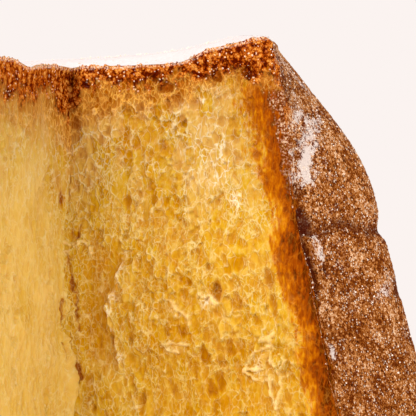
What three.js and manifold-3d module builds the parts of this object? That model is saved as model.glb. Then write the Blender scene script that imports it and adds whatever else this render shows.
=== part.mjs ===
// Pandoro: a star-shaped sweet bread that tapers to a dished top, with a quarter cut out of it.
// Millimetres, +Z up. The origin is on the loaf's axis, in the plane of its flat base.
import * as THREE from "three";
import { mergeVertices } from "three/addons/utils/BufferGeometryUtils.js";
import Module from "manifold-3d";

// Driving dimensions of the loaf
const HEIGHT = 185; // base to the rim of the top, before the top's tilt
const LOBES = 8; // points of the star
const BASE_CREST = 112.3; // radius at the base, on a lobe's crest
const BASE_VALLEY = 91.4; // radius at the base, in the valley between two lobes
const CREST_TAPER = 0.253; // radius gained for each millimetre below the rim
const VALLEY_TAPER = 0.235;
const RIM_CREST = 49; // radius of the top rim, where each lobe starts
const RIM_VALLEY = 51;
const SHOULDER_SLOPE = 0.87; // a lobe runs out of the rim on this steeper slope
const SHOULDER_ROUND = 5; // blends the shoulder into the crest
const VALLEY_TOP_SLOPE = 0.155; // the valleys are steeper near the rim
const VALLEY_ROUND = 2;
const VALLEY_BULGE = 0.9; // the valleys are a little fuller just below the rim
const VALLEY_BULGE_BELOW = 14;
const VALLEY_BULGE_REACH = 14;
const CREST_ROUND = 0.24; // how blunt a crest is, as a share of half a lobe

// The top: a flat floor, a step and a rim that rises outwards
const DISH_FLOOR = 4.2; // floor of the dish below the rim
const DISH_CENTRE = new THREE.Vector2(2, 6);
const DISH_STEP_FOOT = 27; // radius where the step starts
const DISH_STEP_HEAD = 36; // radius where the step ends
const DISH_LIP = 1.7; // top of the step below the rim
const LIP_FROM = 32; // radius where the rim starts to rise
const TOP_EDGE = 2.5; // rounding between the top and the sides
const TOP_TILT = 3; // the top leans: one side of the rim is this much higher, the other lower
const TOP_TILT_TOWARDS = THREE.MathUtils.degToRad(45);
const TILT_DEPTH = 40; // the lean dies out this far below the rim
const RIM_SWELL = 3; // the rim is thicker on the high side
const RIM_SWELL_TOWARDS = THREE.MathUtils.degToRad(54);
const RIM_SWELL_WIDTH = THREE.MathUtils.degToRad(19);
const CORNER_SWELL = 0.95; // and at the cut's outer corner
const CORNER_SWELL_WIDTH = THREE.MathUtils.degToRad(16);
const DISH_BULGE = 1.2; // the floor of the dish rises beside the slit
const DISH_BULGE_AT = new THREE.Vector2(0, -9);
const DISH_BULGE_WIDE = 13;
const BASE_EDGE = 5; // rounding between the base and the sides

// The crust's unevenness, and the fold that runs round each lobe below its shoulder
const CRUST_SWELL = 0.9;
const SWELL_CELL = 26; // size of a swelling
const FOLD_BELOW_RIM = 41.5;
const FOLD_DEPTH = 1.1;
const FOLD_WIDTH = 2.6;
const FOLD_WANDER = 4; // the fold lies higher or lower from lobe to lobe

// The cut: a quarter between two valleys, with torn crumb on both faces
const TEAR_RELIEF = 1.1;
const TEAR_CELL = 11;
const TEAR_FINE_CELL = 5;
const LIP = 2.4; // the cut leaves a lip of the next lobe here, in front of the valley
const LIP_BELOW_RIM = 57;
const LIP_REACH = 15;
const SLIT_DEPTH = 7; // the knife ran past the corner and left a slit
const CUT_REACH = 126;
const CUT_OVERRUN = 9; // above the top and below the base

// How finely the solid is divided
const SEGMENTS = LOBES * 12;
const SIDE_STEP = 7;
const FOLD_STEP = 2.6; // closer rows in the band where the folds lie
const BASE_RINGS = 2;
const DISH_RINGS = 10;
const CUT_CELL = 4;

const CRUST_COLOUR = 0xa5663b;

const HALF_LOBE = Math.PI / LOBES;
const { clamp, lerp, smoothstep } = THREE.MathUtils;

// The smaller or the larger of two values, with the change from one to the other rounded
function roundedMin(a, b, round) {
  const share = clamp(0.5 + (0.5 * (b - a)) / round, 0, 1);
  return lerp(b, a, share) - round * share * (1 - share);
}

function roundedMax(a, b, round) {
  return -roundedMin(-a, -b, round);
}

// Smooth noise from -1 to 1 on a square lattice of unit cells, the same on each run
function latticeValue(i, j, seed) {
  const wave = Math.sin(i * 127.1 + j * 311.7 + seed * 74.7) * 43758.5453;
  return 2 * (wave - Math.floor(wave)) - 1;
}

function noise(x, y, seed) {
  const i = Math.floor(x);
  const j = Math.floor(y);
  const u = smoothstep(x - i, 0, 1);
  const v = smoothstep(y - j, 0, 1);
  const low = lerp(latticeValue(i, j, seed), latticeValue(i + 1, j, seed), u);
  const high = lerp(latticeValue(i, j + 1, seed), latticeValue(i + 1, j + 1, seed), u);
  return lerp(low, high, v);
}

// Radius on a crest and in a valley, by the distance below the rim
function crestRadius(below) {
  const shoulder = RIM_CREST + SHOULDER_SLOPE * below;
  const side = BASE_CREST - CREST_TAPER * (HEIGHT - below);
  return roundedMin(shoulder, side, SHOULDER_ROUND);
}

function valleyRadius(below) {
  const neck = RIM_VALLEY + VALLEY_TOP_SLOPE * below;
  const side = BASE_VALLEY - VALLEY_TAPER * (HEIGHT - below);
  const fromBulge = (below - VALLEY_BULGE_BELOW) / VALLEY_BULGE_REACH;
  return roundedMax(neck, side, VALLEY_ROUND) + VALLEY_BULGE * Math.exp(-(fromBulge ** 2));
}

// Angle from the nearest crest. The valleys lie on the X and Y axes and half way between them.
function angleFromCrest(angle) {
  const turn = (((angle * LOBES) / (2 * Math.PI)) % 1 + 1) % 1;
  return Math.abs(2 * turn - 1) * HALF_LOBE;
}

// The same angle with the crest blunted: flat at the crest, even along the flanks
function bluntAngle(angle) {
  const blunt = CREST_ROUND * HALF_LOBE;
  const flank = Math.hypot(angleFromCrest(angle), blunt) - blunt;
  return (HALF_LOBE * flank) / (Math.hypot(HALF_LOBE, blunt) - blunt);
}

// Share of the way from valley to crest at an angle
function lobeShare(angle) {
  return 1 - bluntAngle(angle) / HALF_LOBE;
}

// Radius of a straight flank that joins a crest and a valley
function flankRadius(angle, crest, valley) {
  const turn = bluntAngle(angle);
  const lean = (1 / valley - Math.cos(HALF_LOBE) / crest) / Math.sin(HALF_LOBE);
  return 1 / (Math.cos(turn) / crest + lean * Math.sin(turn));
}

function foldDepth(angle, below) {
  const lobe = Math.floor(angle / (2 * HALF_LOBE));
  const centre = FOLD_BELOW_RIM + FOLD_WANDER * Math.sin(2.4 * lobe);
  const across = (below - centre) / FOLD_WIDTH;
  return FOLD_DEPTH * lobeShare(angle) * Math.exp(-across * across);
}

function starRadius(angle, below) {
  const share = lobeShare(angle);
  const star = flankRadius(angle, crestRadius(below), valleyRadius(below));
  const around = (angle * BASE_VALLEY) / SWELL_CELL;
  const swell = CRUST_SWELL * share * noise(around, below / SWELL_CELL, 1);
  return star + swell - foldDepth(angle, below);
}

// The top's level below the rim: the floor of the dish lies a little off the axis
function dishDepth(x, y) {
  const fromCentre = Math.hypot(x - DISH_CENTRE.x, y - DISH_CENTRE.y);
  const floor = 1 - smoothstep(fromCentre, DISH_STEP_FOOT, DISH_STEP_HEAD);
  const rim = 1 - smoothstep(Math.hypot(x, y), LIP_FROM, RIM_VALLEY);
  const fromBulge = Math.hypot(x - DISH_BULGE_AT.x, y - DISH_BULGE_AT.y) / DISH_BULGE_WIDE;
  const bulge = DISH_BULGE * Math.exp(-(fromBulge ** 2));
  return (DISH_FLOOR - DISH_LIP) * floor + DISH_LIP * rim - bulge;
}

// How much higher the rim is on one side, for a point on the top or just below it
function rimRise(angle, radius) {
  const share = Math.min(radius / RIM_VALLEY, 1);
  const apart = angle - RIM_SWELL_TOWARDS;
  const swell = RIM_SWELL * share ** 4 * Math.exp(-((apart / RIM_SWELL_WIDTH) ** 2));
  const corner = CORNER_SWELL * share ** 6 * Math.exp(-((angle / CORNER_SWELL_WIDTH) ** 2));
  return TOP_TILT * share * Math.cos(angle - TOP_TILT_TOWARDS) + swell + corner;
}

// Outline of a plain round blank, from the middle of the base to the middle of the top
function blankOutline() {
  const points = [];
  const baseFlat = BASE_CREST - BASE_EDGE;
  for (let i = 0; i <= BASE_RINGS; i++) points.push(new THREE.Vector2((baseFlat * i) / BASE_RINGS, 0));
  for (const turn of [Math.PI / 6, Math.PI / 3]) {
    const out = baseFlat + BASE_EDGE * Math.sin(turn);
    points.push(new THREE.Vector2(out, BASE_EDGE * (1 - Math.cos(turn))));
  }
  const foldBand = FOLD_WANDER + FOLD_WIDTH;
  let z = BASE_EDGE;
  while (z < HEIGHT - TOP_EDGE) {
    points.push(new THREE.Vector2(crestRadius(HEIGHT - z), z));
    const inFolds = Math.abs(HEIGHT - FOLD_BELOW_RIM - z) < foldBand;
    z += inFolds ? FOLD_STEP : SIDE_STEP;
  }
  const rimFlat = crestRadius(TOP_EDGE) - TOP_EDGE;
  for (const turn of [0, Math.PI / 6, Math.PI / 3, Math.PI / 2]) {
    const out = rimFlat + TOP_EDGE * Math.cos(turn);
    points.push(new THREE.Vector2(out, HEIGHT - TOP_EDGE * (1 - Math.sin(turn))));
  }
  for (let ring = DISH_RINGS - 1; ring >= 0; ring--) {
    points.push(new THREE.Vector2((rimFlat * ring) / DISH_RINGS, HEIGHT));
  }
  return points;
}

// The blank with the star pressed into its sides and its top leaning a little
function loafGeometry() {
  const geometry = new THREE.LatheGeometry(blankOutline(), SEGMENTS);
  geometry.rotateX(Math.PI / 2);
  const place = geometry.getAttribute("position");
  for (let i = 0; i < place.count; i++) {
    const x = place.getX(i);
    const y = place.getY(i);
    const z = place.getZ(i);
    const angle = Math.atan2(y, x);
    const below = clamp(HEIGHT - z, TOP_EDGE, HEIGHT - BASE_EDGE);
    const press = starRadius(angle, below) / crestRadius(below);
    const lean = 1 - smoothstep(HEIGHT - z, 0, TILT_DEPTH);
    const rise = lean * rimRise(angle, Math.hypot(x, y));
    const dish = z > HEIGHT - TOP_EDGE / 100 ? dishDepth(x * press, y * press) : 0;
    place.setXYZ(i, x * press, y * press, z + rise - dish);
  }
  return geometry;
}

// How far the torn crumb stands out of a cut face, by the distance from the axis and the height
function tearRelief(out, z, seed) {
  const broad = noise(out / TEAR_CELL, z / (1.6 * TEAR_CELL), seed);
  const fine = noise(out / TEAR_FINE_CELL, z / (1.6 * TEAR_FINE_CELL), seed + 1);
  return TEAR_RELIEF * (0.6 * broad + 0.4 * fine);
}

function lipReach(z) {
  const from = (HEIGHT - z - LIP_BELOW_RIM) / LIP_REACH;
  return LIP * Math.exp(-(from ** 4));
}

// The quarter that is taken out: a block whose two inner faces carry the torn relief
function wedgeGeometry() {
  const tall = HEIGHT + TOP_TILT + RIM_SWELL + 2 * CUT_OVERRUN;
  const across = Math.round(CUT_REACH / CUT_CELL);
  const up = Math.round(tall / CUT_CELL);
  const geometry = new THREE.BoxGeometry(CUT_REACH, CUT_REACH, tall, across, across, up);
  geometry.translate(CUT_REACH / 2, -CUT_REACH / 2, tall / 2 - CUT_OVERRUN);
  const place = geometry.getAttribute("position");
  const near = CUT_CELL / 100;
  for (let i = 0; i < place.count; i++) {
    const x = place.getX(i);
    const y = place.getY(i);
    const z = place.getZ(i);
    const onLeft = Math.abs(x) < near;
    const onRight = Math.abs(y) < near;
    if (onLeft && onRight) {
      place.setY(i, SLIT_DEPTH * (0.75 + 0.25 * noise(z / TEAR_CELL, 0.5, 9)));
    } else if (onLeft) {
      place.setX(i, tearRelief(-y, z, 5));
    } else if (onRight) {
      place.setY(i, -lipReach(z) - tearRelief(x, z, 7));
    }
  }
  return geometry;
}

const wasm = await Module();
wasm.setup();

function solidOf(geometry) {
  const bare = geometry.clone();
  bare.deleteAttribute("normal");
  bare.deleteAttribute("uv");
  const merged = mergeVertices(bare, 1e-3);
  const mesh = new wasm.Mesh({
    numProp: 3,
    vertProperties: merged.getAttribute("position").array,
    triVerts: new Uint32Array(merged.index.array),
  });
  return new wasm.Manifold(mesh);
}

function geometryOf(solid) {
  const mesh = solid.getMesh();
  const geometry = new THREE.BufferGeometry();
  geometry.setAttribute("position", new THREE.BufferAttribute(mesh.vertProperties, mesh.numProp));
  geometry.setIndex(new THREE.BufferAttribute(mesh.triVerts, 1));
  geometry.computeVertexNormals();
  return geometry;
}

const cutLoaf = solidOf(loafGeometry()).subtract(solidOf(wedgeGeometry()));
const crust = new THREE.MeshStandardMaterial({ color: CRUST_COLOUR, roughness: 0.85, metalness: 0 });
const loaf = new THREE.Mesh(geometryOf(cutLoaf), crust);
loaf.name = "pandoro";

const pandoro = new THREE.Group();
pandoro.add(loaf);

export default pandoro;
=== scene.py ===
# A cut pandoro: a star-shaped sweet bread with a quarter taken out, so that its golden crumb shows.
import math

import bmesh
import bpy
import numpy as np
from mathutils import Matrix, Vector


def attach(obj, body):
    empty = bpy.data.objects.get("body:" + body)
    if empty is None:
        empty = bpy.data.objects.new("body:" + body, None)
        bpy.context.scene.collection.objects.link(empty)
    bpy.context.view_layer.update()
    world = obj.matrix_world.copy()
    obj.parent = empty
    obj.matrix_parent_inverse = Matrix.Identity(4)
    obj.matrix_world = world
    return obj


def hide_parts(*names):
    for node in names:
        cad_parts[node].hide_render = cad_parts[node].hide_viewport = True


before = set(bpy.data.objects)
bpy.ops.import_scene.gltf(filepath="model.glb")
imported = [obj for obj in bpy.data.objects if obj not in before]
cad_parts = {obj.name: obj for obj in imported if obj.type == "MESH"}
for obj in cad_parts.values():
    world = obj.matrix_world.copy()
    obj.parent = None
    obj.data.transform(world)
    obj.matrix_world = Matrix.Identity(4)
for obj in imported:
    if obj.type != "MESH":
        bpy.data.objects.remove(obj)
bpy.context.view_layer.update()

# Shapes are worked out in millimetres, as the solid's own sizes are, and go into the meshes in metres
MM = 0.001
NODE = "pandoro"
BODY = "root"

# The loaf
HEIGHT = 185
LOBES = 8
HALF_LOBE = math.pi / LOBES
BASE_CREST = 112.3
BASE_VALLEY = 91.4
CREST_TAPER = 0.253
VALLEY_TAPER = 0.235
RIM_CREST = 49
RIM_VALLEY = 51
SHOULDER_SLOPE = 0.87
SHOULDER_ROUND = 5
VALLEY_TOP_SLOPE = 0.155
VALLEY_ROUND = 2
VALLEY_BULGE = 0.9
VALLEY_BULGE_BELOW = 14
VALLEY_BULGE_REACH = 14
CREST_ROUND = 0.24

# Its top and its base
DISH_FLOOR = 4.2
DISH_CENTRE = (2, 6)
DISH_STEP_FOOT = 27
DISH_STEP_HEAD = 36
DISH_LIP = 1.7
LIP_FROM = 32
TOP_EDGE = 2.5
TOP_TILT = 3
TOP_TILT_TOWARDS = math.radians(45)
TILT_DEPTH = 40
RIM_SWELL = 3
RIM_SWELL_TOWARDS = math.radians(54)
RIM_SWELL_WIDTH = math.radians(19)
CORNER_SWELL = 0.95
CORNER_SWELL_WIDTH = math.radians(16)
DISH_BULGE = 1.2
DISH_BULGE_AT = (0, -9)
DISH_BULGE_WIDE = 13
BASE_EDGE = 5

# Its crust
CRUST_SWELL = 0.9
SWELL_CELL = 26
FOLD_BELOW_RIM = 41.5
FOLD_DEPTH = 1.1
FOLD_WIDTH = 2.6
FOLD_WANDER = 4
FOLD_TURN = 2.4
GRAIN_CELL = 1.0
GRAIN_RELIEF = 0.32
PIT_CELL = 3.2
PIT_RELIEF = 2.0
WAVE_CELL = 6
WAVE_RELIEF = 0.18
GRAIN_LEVEL = 0.5
PIT_SIZE = 0.30
GRAIN_SEED = 11
PIT_SEED = 17
WAVE_SEED = 23
TOP_RELIEF_SHARE = 0.2
BASE_FADE = 2
# Where the crust is painted with shade beside the cut it also sinks, and keeps less sugar
SHADED_GAP_SINK = 0.8
SHADED_GAP_SUGAR_LOSS = 0.8
SUGARED_RELIEF_LOSS = 0.65
SUGARED = (0.55, 0.95)
OUTWARD_RISE = 0.2

# The cut
TEAR_RELIEF = 1.1
TEAR_CELL = 11
TEAR_FINE_CELL = 5
LIP = 2.4
LIP_BELOW_RIM = 57
LIP_REACH = 15
SLIT_DEPTH = 7
SLIT_WIDTH = 4
SLIT_WIDTH_BEHIND = 12
SLIT_OPEN_FROM = 169
SLIT_OPEN_FULL = 184
SLIT_CLOSED = 0.05
FILLET = 1.7
FILLET_REACH = 2.4
TEAR_TALL = 1.6
TEAR_SHARES = (0.6, 0.4)
RIGHT_TEAR_SEED = 7
LEFT_TEAR_SEED = 5
SLIT_MEAN = 0.75
SLIT_TURN = 0.5
SLIT_WIDENS = (0, 0.8)
FILLET_MEAN = 0.7
FILLET_FADE = 8
AXIS_REACH = 6
AXIS_CLEAR = (2, 10)
CUT_END = 1.5 * math.pi
# Lower down, a ragged curtain of torn crumb stands out from the left face beside the corner
CURTAIN_HEIGHTS = (97, 103, 109, 118, 121, 124, 128.5, 131, 134, 138, 141, 145)
CURTAIN_REACHES = (0.6, 1.5, 2.3, 2.4, 2.1, 2.7, 2.2, 1.4, 1.0, 0.9, 0.4, 0.0)
CURTAIN_TOP = 146
CURTAIN_WIDE = (1.0, 4.5)

# How finely the meshes are divided: the upper half is the one seen from close by
FINE_FROM = 92
CRUST_ROW = 0.66
CRUST_ROW_LOW = 1.7
FRONT_ANGLE = math.radians(27)
FRONT_COLUMNS = 72
BACK_COLUMNS = 186
CRUMB_ROW = 0.31
CRUMB_ROW_LOW = 0.95
RIGHT_COLUMNS = 224
LEFT_COLUMNS = 150
BASE_ROWS = 10
BASE_EDGE_ROWS = 6
TOP_EDGE_ROWS = 7
TOP_ROWS = 26
SUGAR_COLUMNS = 250
SUGAR_ROWS = 64
MERGE_WITHIN = 0.02

# The crumb's pores
RASTER = 0.2
FACE_WIDE = 98
FACE_TALL = 192
PORE_LARGEST = 2.1
PORE_CROWDING = 1.1
PORE_BOWL = 0.6
PORE_WALL = 0.28
PORE_FAR = 4.0
PORE_SMALLEST = 0.3
PORE_SPREAD = 1.3
PORE_MARGIN = 1.5
PORE_DENTS = (0.12, 0.10)
PORE_PHASE = 6.3
PORE_KEEP = 0.55
PORE_LONG = (0.7, 0.9)
PORE_TURN = 0.6
PORE_DEEP = (0.35, 0.6)
# Passes over a face: smallest radius, largest radius and tries
COARSE_PASSES = ((1.3, 2.1, 1500), (0.8, 1.4, 6000), (0.45, 0.9, 20000), (0.25, 0.5, 40000))
FINE_PASSES = ((0.4, 0.65, 26000), (0.22, 0.4, 34000))
FINE_LARGEST = 0.65
INNER_HOLLOW = (0.15, 0.35)
INNER_HOLLOW_FADE = (0.2, 0.9)
WALL_MEAN = 0.75
INNER_WALL = 0.25
CRACK_MEAN = 0.7
PATCH_SOFT = 1.2
FLAP_EDGE = 1.2
# A raster is read up to just short of its last cell
RASTER_END = 1.001

# How large the pores grow: less at the inner corner, and from a least size on by so much per millimetre
PORE_MEAN = 0.70
PORE_PATCHY = 0.42
PORE_LEAST = 0.2
CORNER_SHARE = 0.62
CORNER_FADE = (8, 26)
SIDE_LIMIT = (0.22, 0.20)
BASE_LIMIT = (0.30, 0.2)
TOP_LIMIT = (0.35, 0.10)
TOP_LIMIT_BELOW = 4
TOP_LIMIT_RISE = 0.13
TOP_LIMIT_OUT = 0.5
TOP_LIMIT_FADE = (28, 36)
# How they stretch and lean: lower down, beside the crust and towards the side
STRETCH = 1.2
STRETCH_LOW = 0.8
STRETCH_LOW_FADE = (25, 80)
STRETCH_SIDE = 1.7
STRETCH_SIDE_FADE = (2, 8)
STRETCH_TOP_FADE = (4, 12)
LEAN = math.radians(5)
LEAN_SIDE = math.radians(13)

# Noises on a face or along a line: strength, a cell's width and height, and seed
SLIT_UNEVEN = (0.25, TEAR_CELL, 1, 9)
FILLET_UNEVEN = (0.3, 7, 1, 19)
CURTAIN_RAGGED = ((0.45, 2.2, 1, 41), (0.3, 0.7, 1, 42))
# The same on a cut face, which adds its own seed
CRUMB_PATCHES = ((1, 13, 19, 0), (0.5, 5, 7, 2))
WALL_FAINT = (0.25, 3.1, 4.3, 21)
CRACK_WANDER = ((0.7, 3, 9, 23), (0.3, 0.9, 4, 24))
CRACK_BROKEN = (0.3, 2, 2.2, 27)
PALE_RAGGED = ((0.5, 1.5, 2.5, 25), (0.3, 0.6, 0.9, 26))
FLAP_RAGGED = ((0.5, 0.6, 0.6, 35), (0.8, 1.9, 1.9, 38))
FLAP_WANDER_OUT = (0.6, 1.5, 1.5, 36)
FLAP_WANDER_UP = (0.6, 1.5, 1.5, 37)
BROWN_STREAKS = ((1, 0.8, 7, 4), (0.8, 2.4, 4, 5))
BROWN_WANDER = ((1.6, 15, 9, 6), (1.2, 5, 5, 8))
BROWN_FRAY = (0.8, 1.6, 2, 9)
TOP_RAGGED = ((1, 2.4, 2.2, 14), (0.9, 7, 9, 15))
LEDGE_JAGGED = ((0.22, 1.6, 2.4, 8), (0.10, 0.7, 0.9, 9))
LEDGE_SPREAD = (1, 1, 15, 7)
RIM_LUMPS = ((1, 0.5, 1, 31), (0.6, 1.5, 1, 32))
SIDE_FRAY = ((0.6, 0.8, 1, 33), (1, 3.1, 1, 34))
POINT_WANDER_OUT = (1, 0.8, 0.8, 11)
POINT_WANDER_UP = (1, 0.8, 0.8, 12)
# Noises in space: strength, cell and seed
SUGAR_BROAD = ((1, 9.0, 31), (0.6, 3.2, 32))
SUGAR_RAGGED = ((0.40, 1.7, 33), (0.25, 0.8, 34))
SUGAR_LUMPS = ((1, 3.0, 51), (0.6, 1.2, 52))
SHADED_GAP_RAGGED = ((0.5, 2.2, 61), (0.4, 0.9, 62))
SHADED_FOLD_WANDER = (2.2, 7.0, 63)
TOAST_RAGGED = ((1, 1.4, 65), (1.4, 4.0, 66))

# Icing sugar on the crust: smears from one angle and height to another, with half width and strength
SUGAR_SMEARS = (
    (14.4, 169.8, 9.8, 166.7, 2.2, 0.8),
    (9.8, 166.7, 6.6, 162.7, 4.4, 0.95),
    (6.6, 162.7, 4.8, 157.0, 4.8, 0.95),
    (8.0, 171.0, 3.6, 167.4, 3.2, 0.85),
    (7.4, 174.0, 8.6, 172.3, 2.4, 0.7),
    (0.9, 162.4, 1.5, 157.4, 2.2, 0.7),
    (4.6, 141.6, 4.8, 136.2, 1.8, 0.8),
    (2.4, 116.2, 2.3, 113.6, 1.6, 0.9),
    (23.4, 154.6, 23.8, 149.0, 0.9, 0.75),
    (19.0, 131.0, 15.0, 127.0, 2.6, 0.55),
    (10.5, 187.0, 17.0, 176.0, 3.4, 0.62),
    (20.0, 166.5, 24.0, 161.0, 2.2, 0.6),
)
SMEAR_RADIUS = 72
SMEAR_EDGE = (1.5, 1.7)
# How the smears differ from lobe to lobe: strength, shift around and shift up
SMEAR_TURNS = (2.3, 3.7, 5.1)
SMEAR_SHIFT = 0.12
SMEAR_RISE = 16
SMEAR_LOBE_EDGE = (0, 0.06)
SUGAR_LEAST = 0.16
SUGAR_HIGH = 0.10
SUGAR_HIGH_FADE = (125, 160)
SUGAR_SPREAD = 0.16
DRIFT = 0.5
DRIFT_CELL = 14.0
DRIFT_FROM = 0.45
DRIFT_SEED = 41
DRIFT_FINE_CELL = 2.0
DRIFT_FINE_SEED = 42
TOP_SUGAR_INSET = 1.8
TOP_SUGAR_BEHIND = 3.5
TOP_SUGAR_TURN = (0.25, 0.6)
TOP_SUGAR_RAGGED = 0.8
TOP_SUGAR_SOFT = (-1.5, 1.5)
TOP_SUGAR_BELOW = (14, 12)

# Where the crust has come away from the crumb beside the cut it is painted dark, painted shade in the gap,
# in some places almost grey
CRACK_HEIGHTS = (118.5, 121.0, 124.0, 127.0, 129.0, 132.0, 134.6, 138.0, 141.8, 146.0)
CRACK_TURNS = (0.1, 0.3, 0.8, 1.5, 2.0, 2.1, 1.9, 1.2, 0.9, 1.0)
CRACK_HALF_WIDTHS = (0.2, 0.5, 0.6, 0.7, 0.8, 0.8, 0.9, 1.1, 1.2, 0.8)
# Places painted dark as shade: turn in degrees, height, half width in degrees, half height and strength
SHADED_SPOTS = (
    (2.4, 144.4, 3.4, 4.4, 1.0),
    (6.0, 176.0, 5.0, 6.0, 0.4),
    (21.0, 128.6, 2.2, 3.0, 0.6),
    (5.2, 134.0, 0.6, 1.6, 0.9),
    (2.0, 152.0, 2.5, 2.0, 0.5),
    (16.0, 159.3, 0.7, 0.8, 0.9),
)
CRACK_SOFT = 0.5
SPOT_EDGE = 1.1
# The fold is painted dark along its crease, painted shade
FOLD_SHADE = 0.6
FOLD_SHADE_WIDTH = 1.4
FLANK_FROM = (40, 46)
# The orange-brown of the rind reaches so far from the cut, and further near the top
TOAST_REACH = 1.6
TOAST_REACH_TOP = 2.6
TOAST_TOP = (30, 8)
TOAST_FRAY = 1.2
TOAST_SOFT = 2.0

# The crust's edges, and how it turns in behind the crumb: inward along the face, and back
RIGHT_EDGE = 1
LEFT_EDGE = 2
AXIS_EDGE = 3
CRUST_TURN_IN = ((0.7, 3.5), (2.3, 6.5))

# Some of the torn crumb lies lower than what is beside it, behind a ragged ledge
LEDGE_HEIGHTS = (112.6, 121.0, 127.2, 134.3)
LEDGE_REACHES = (13.6, 11.5, 12.1, 14.6)
LEDGE_DEPTH = 1.4
LEDGE_FROM = (3, 8)
LEDGE_LOW_END = (107, 113)
LEDGE_HIGH_END = (134, 141)
LEDGE_CELL = 9
LEDGE_SHEAR = 40
LEDGE_RAGGED = 2.0
LEDGE_LINE_RAGGED = 5
SCATTERED_DEPTH = 0.8
SCATTERED_STEP = (0.06, 0.36)
LONG_STEP = (0, 0.6)
LONG_FRINGE = ((-2.2, -0.2), (0, 0.5))
SCATTERED_FRINGE = ((-0.08, 0.06), (0.06, 0.16))
SCATTERED_FRINGE_SHARE = 0.3

# The crumb
CRUMB_BACK = 9
CRUMB_BACK_INSET = 3
EDGE_LUMP = 0.45
EDGE_FRAY = 1.1
EDGE_LAP = 0.3
CRACK_DEPTH_SHARE = 0.25
FLAP_LIFT = 0.4
POINT_WANDER = 0.16
FLAP_SMOOTHS = 0.85
RIM_SOFT = 1.5
RIM_FROM_CORNER = (1, 4)
FRAY_WITHIN = 1.2
FRAY_FROM_BASE = (4, 12)
FRAY_FROM_TOP = (0, 3)
FACE_MARGIN = (0.0, 0.9)
INNER_MARGIN = (0.2, 2)
LEDGE_MARGIN = (3, 9)
CORNER_WIDE = (2, 13)
CORNER_CURTAIN_SHARE = 0.75
CORNER_CURTAIN_FADE = 12
SUNK_HOLLOW = 0.20
FRINGE_PALE = 0.7
OUTER_FROM = 0.02
RIGHT_LAP = 1.5
LEFT_LAP = 2.5
# Where the oven browned it: how far in from the side and the base, and down from the top
BROWN_REACH = 13.5
BROWN_REACH_LOSS = 4.5
BROWN_REACH_FADE = (15, 45)
BROWN_STREAK_SHARE = 1.2
BROWN_FROM_SIDE = (0, 3)
BROWN_BASE = (1, 6)
BROWN_BASE_RAGGED = 0.5
TOP_RAGGED_SHARE = 1.4
TOP_NEAR_SIDE = (19, 15)
TOP_THICK = 5.0
TOP_REACH_SHARE = 0.88
# Beside the slit of the inner corner the toasted top and the amber reach further down: painted shade in the
# corner
TOP_SLIT_SHADE = (0.65, 3.6)
TOP_SLIT_SHADE_FADE = (5, 21)
TOP_BODY = 0.88
TOP_SKIN_FADE = (0.2, 1.2)
AMBER_THICK = 2.0
AMBER_FROM = 3.5
AMBER_CORNER = 5
AMBER_SLIT_SHADE = (0.5, 3.0)
AMBER_SLIT_SHADE_FADE = (14, 34)

# A layer of icing sugar in the dish of the top: where it runs out, it sinks into the crust
SUGAR_THICK = 0.5
SUGAR_SINK = 1.5
SUGAR_SETBACK = 0.7
SUGAR_BANK = 1.3
SUGAR_BANK_AT = 0.5
SUGAR_BANK_WIDE = 0.32
SUGAR_OVERHANG = 0.2
SUGAR_INNER = 0.13
SUGAR_RIM = (1.5, 3)
SUGAR_EDGE_RAGGED = 1.5
SUGAR_BELOW = 0.35
SUGAR_LUMP = 0.13
SUGAR_BANK_FROM = (37, 45)

# Loose grains of icing sugar on the crust, each a small squat octahedron
GRAIN_COUNT = 14000
GRAIN_POINTS = np.array([[1, 0, 0], [0, 1, 0], [-1, 0, 0], [0, -1, 0], [0, 0, 0.8], [0, 0, -0.8]])
GRAIN_FACES = np.array(
    [[0, 1, 4], [1, 2, 4], [2, 3, 4], [3, 0, 4], [1, 0, 5], [2, 1, 5], [3, 2, 5], [0, 3, 5]]
)
GRAIN_DRAW_SEED = 8
GRAIN_FROM_RADIUS = 44
GRAIN_FROM_HEIGHT = 2
GRAIN_LEAST = 0.05
GRAIN_LARGEST_AREA = 3e-6
GRAIN_SCATTER = 0.22
GRAIN_SIZES = (0.08, 0.26)
# Crust that is turned in behind the cut has no grains
PAST_AXIS = 1
BEHIND_CUT = 12
BEFORE_CUT = 4
TURNED_IN = 0.96

# Pores that stand out on the right face: reach, height, radius, length to width and depth
RIGHT_PORES = (
    (38.0, 179.2, 1.5, 1.6, 2.6),
    (45.6, 179.6, 1.5, 1.4, 2.6),
    (25.7, 176.4, 1.7, 0.8, 1.9),
    (22.5, 178.6, 0.8, 1.0, 1.6),
    (5.4, 177.2, 1.0, 0.7, 1.8),
    (15.9, 174.4, 0.7, 1.2, 1.2),
    (19.4, 171.8, 1.0, 1.2, 1.2),
    (9.3, 170.0, 1.1, 1.3, 1.0),
    (9.3, 164.1, 1.0, 1.2, 1.3),
    (25.7, 161.8, 2.1, 1.1, 1.3),
    (21.2, 165.4, 2.0, 1.1, 0.9),
    (16.1, 149.4, 1.2, 2.2, 1.6),
    (9.3, 152.0, 0.8, 2.4, 1.3),
    (22.0, 153.6, 1.5, 1.5, 1.1),
    (30.5, 119.4, 1.7, 1.1, 1.5),
)
# Paler, torn places on the right face: reach, height, half width, half height and strength
RIGHT_PATCHES = (
    (36.7, 126.1, 2.2, 2.2, 0.9),
    (28.7, 124.3, 2.0, 1.6, 0.8),
    (38.0, 154.5, 2.8, 3.0, 0.8),
    (49.5, 111.6, 2.6, 4.4, 0.5),
    (28.4, 114.8, 2.8, 1.2, 0.7),
    (35.5, 161.0, 8.0, 10.0, 0.4),
    (31.0, 171.5, 3.4, 2.0, 0.7),
    (34.5, 173.0, 1.6, 1.2, 0.9),
    (40.5, 158.0, 1.8, 3.2, 0.8),
    (43.0, 150.0, 2.2, 2.4, 0.7),
)
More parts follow.
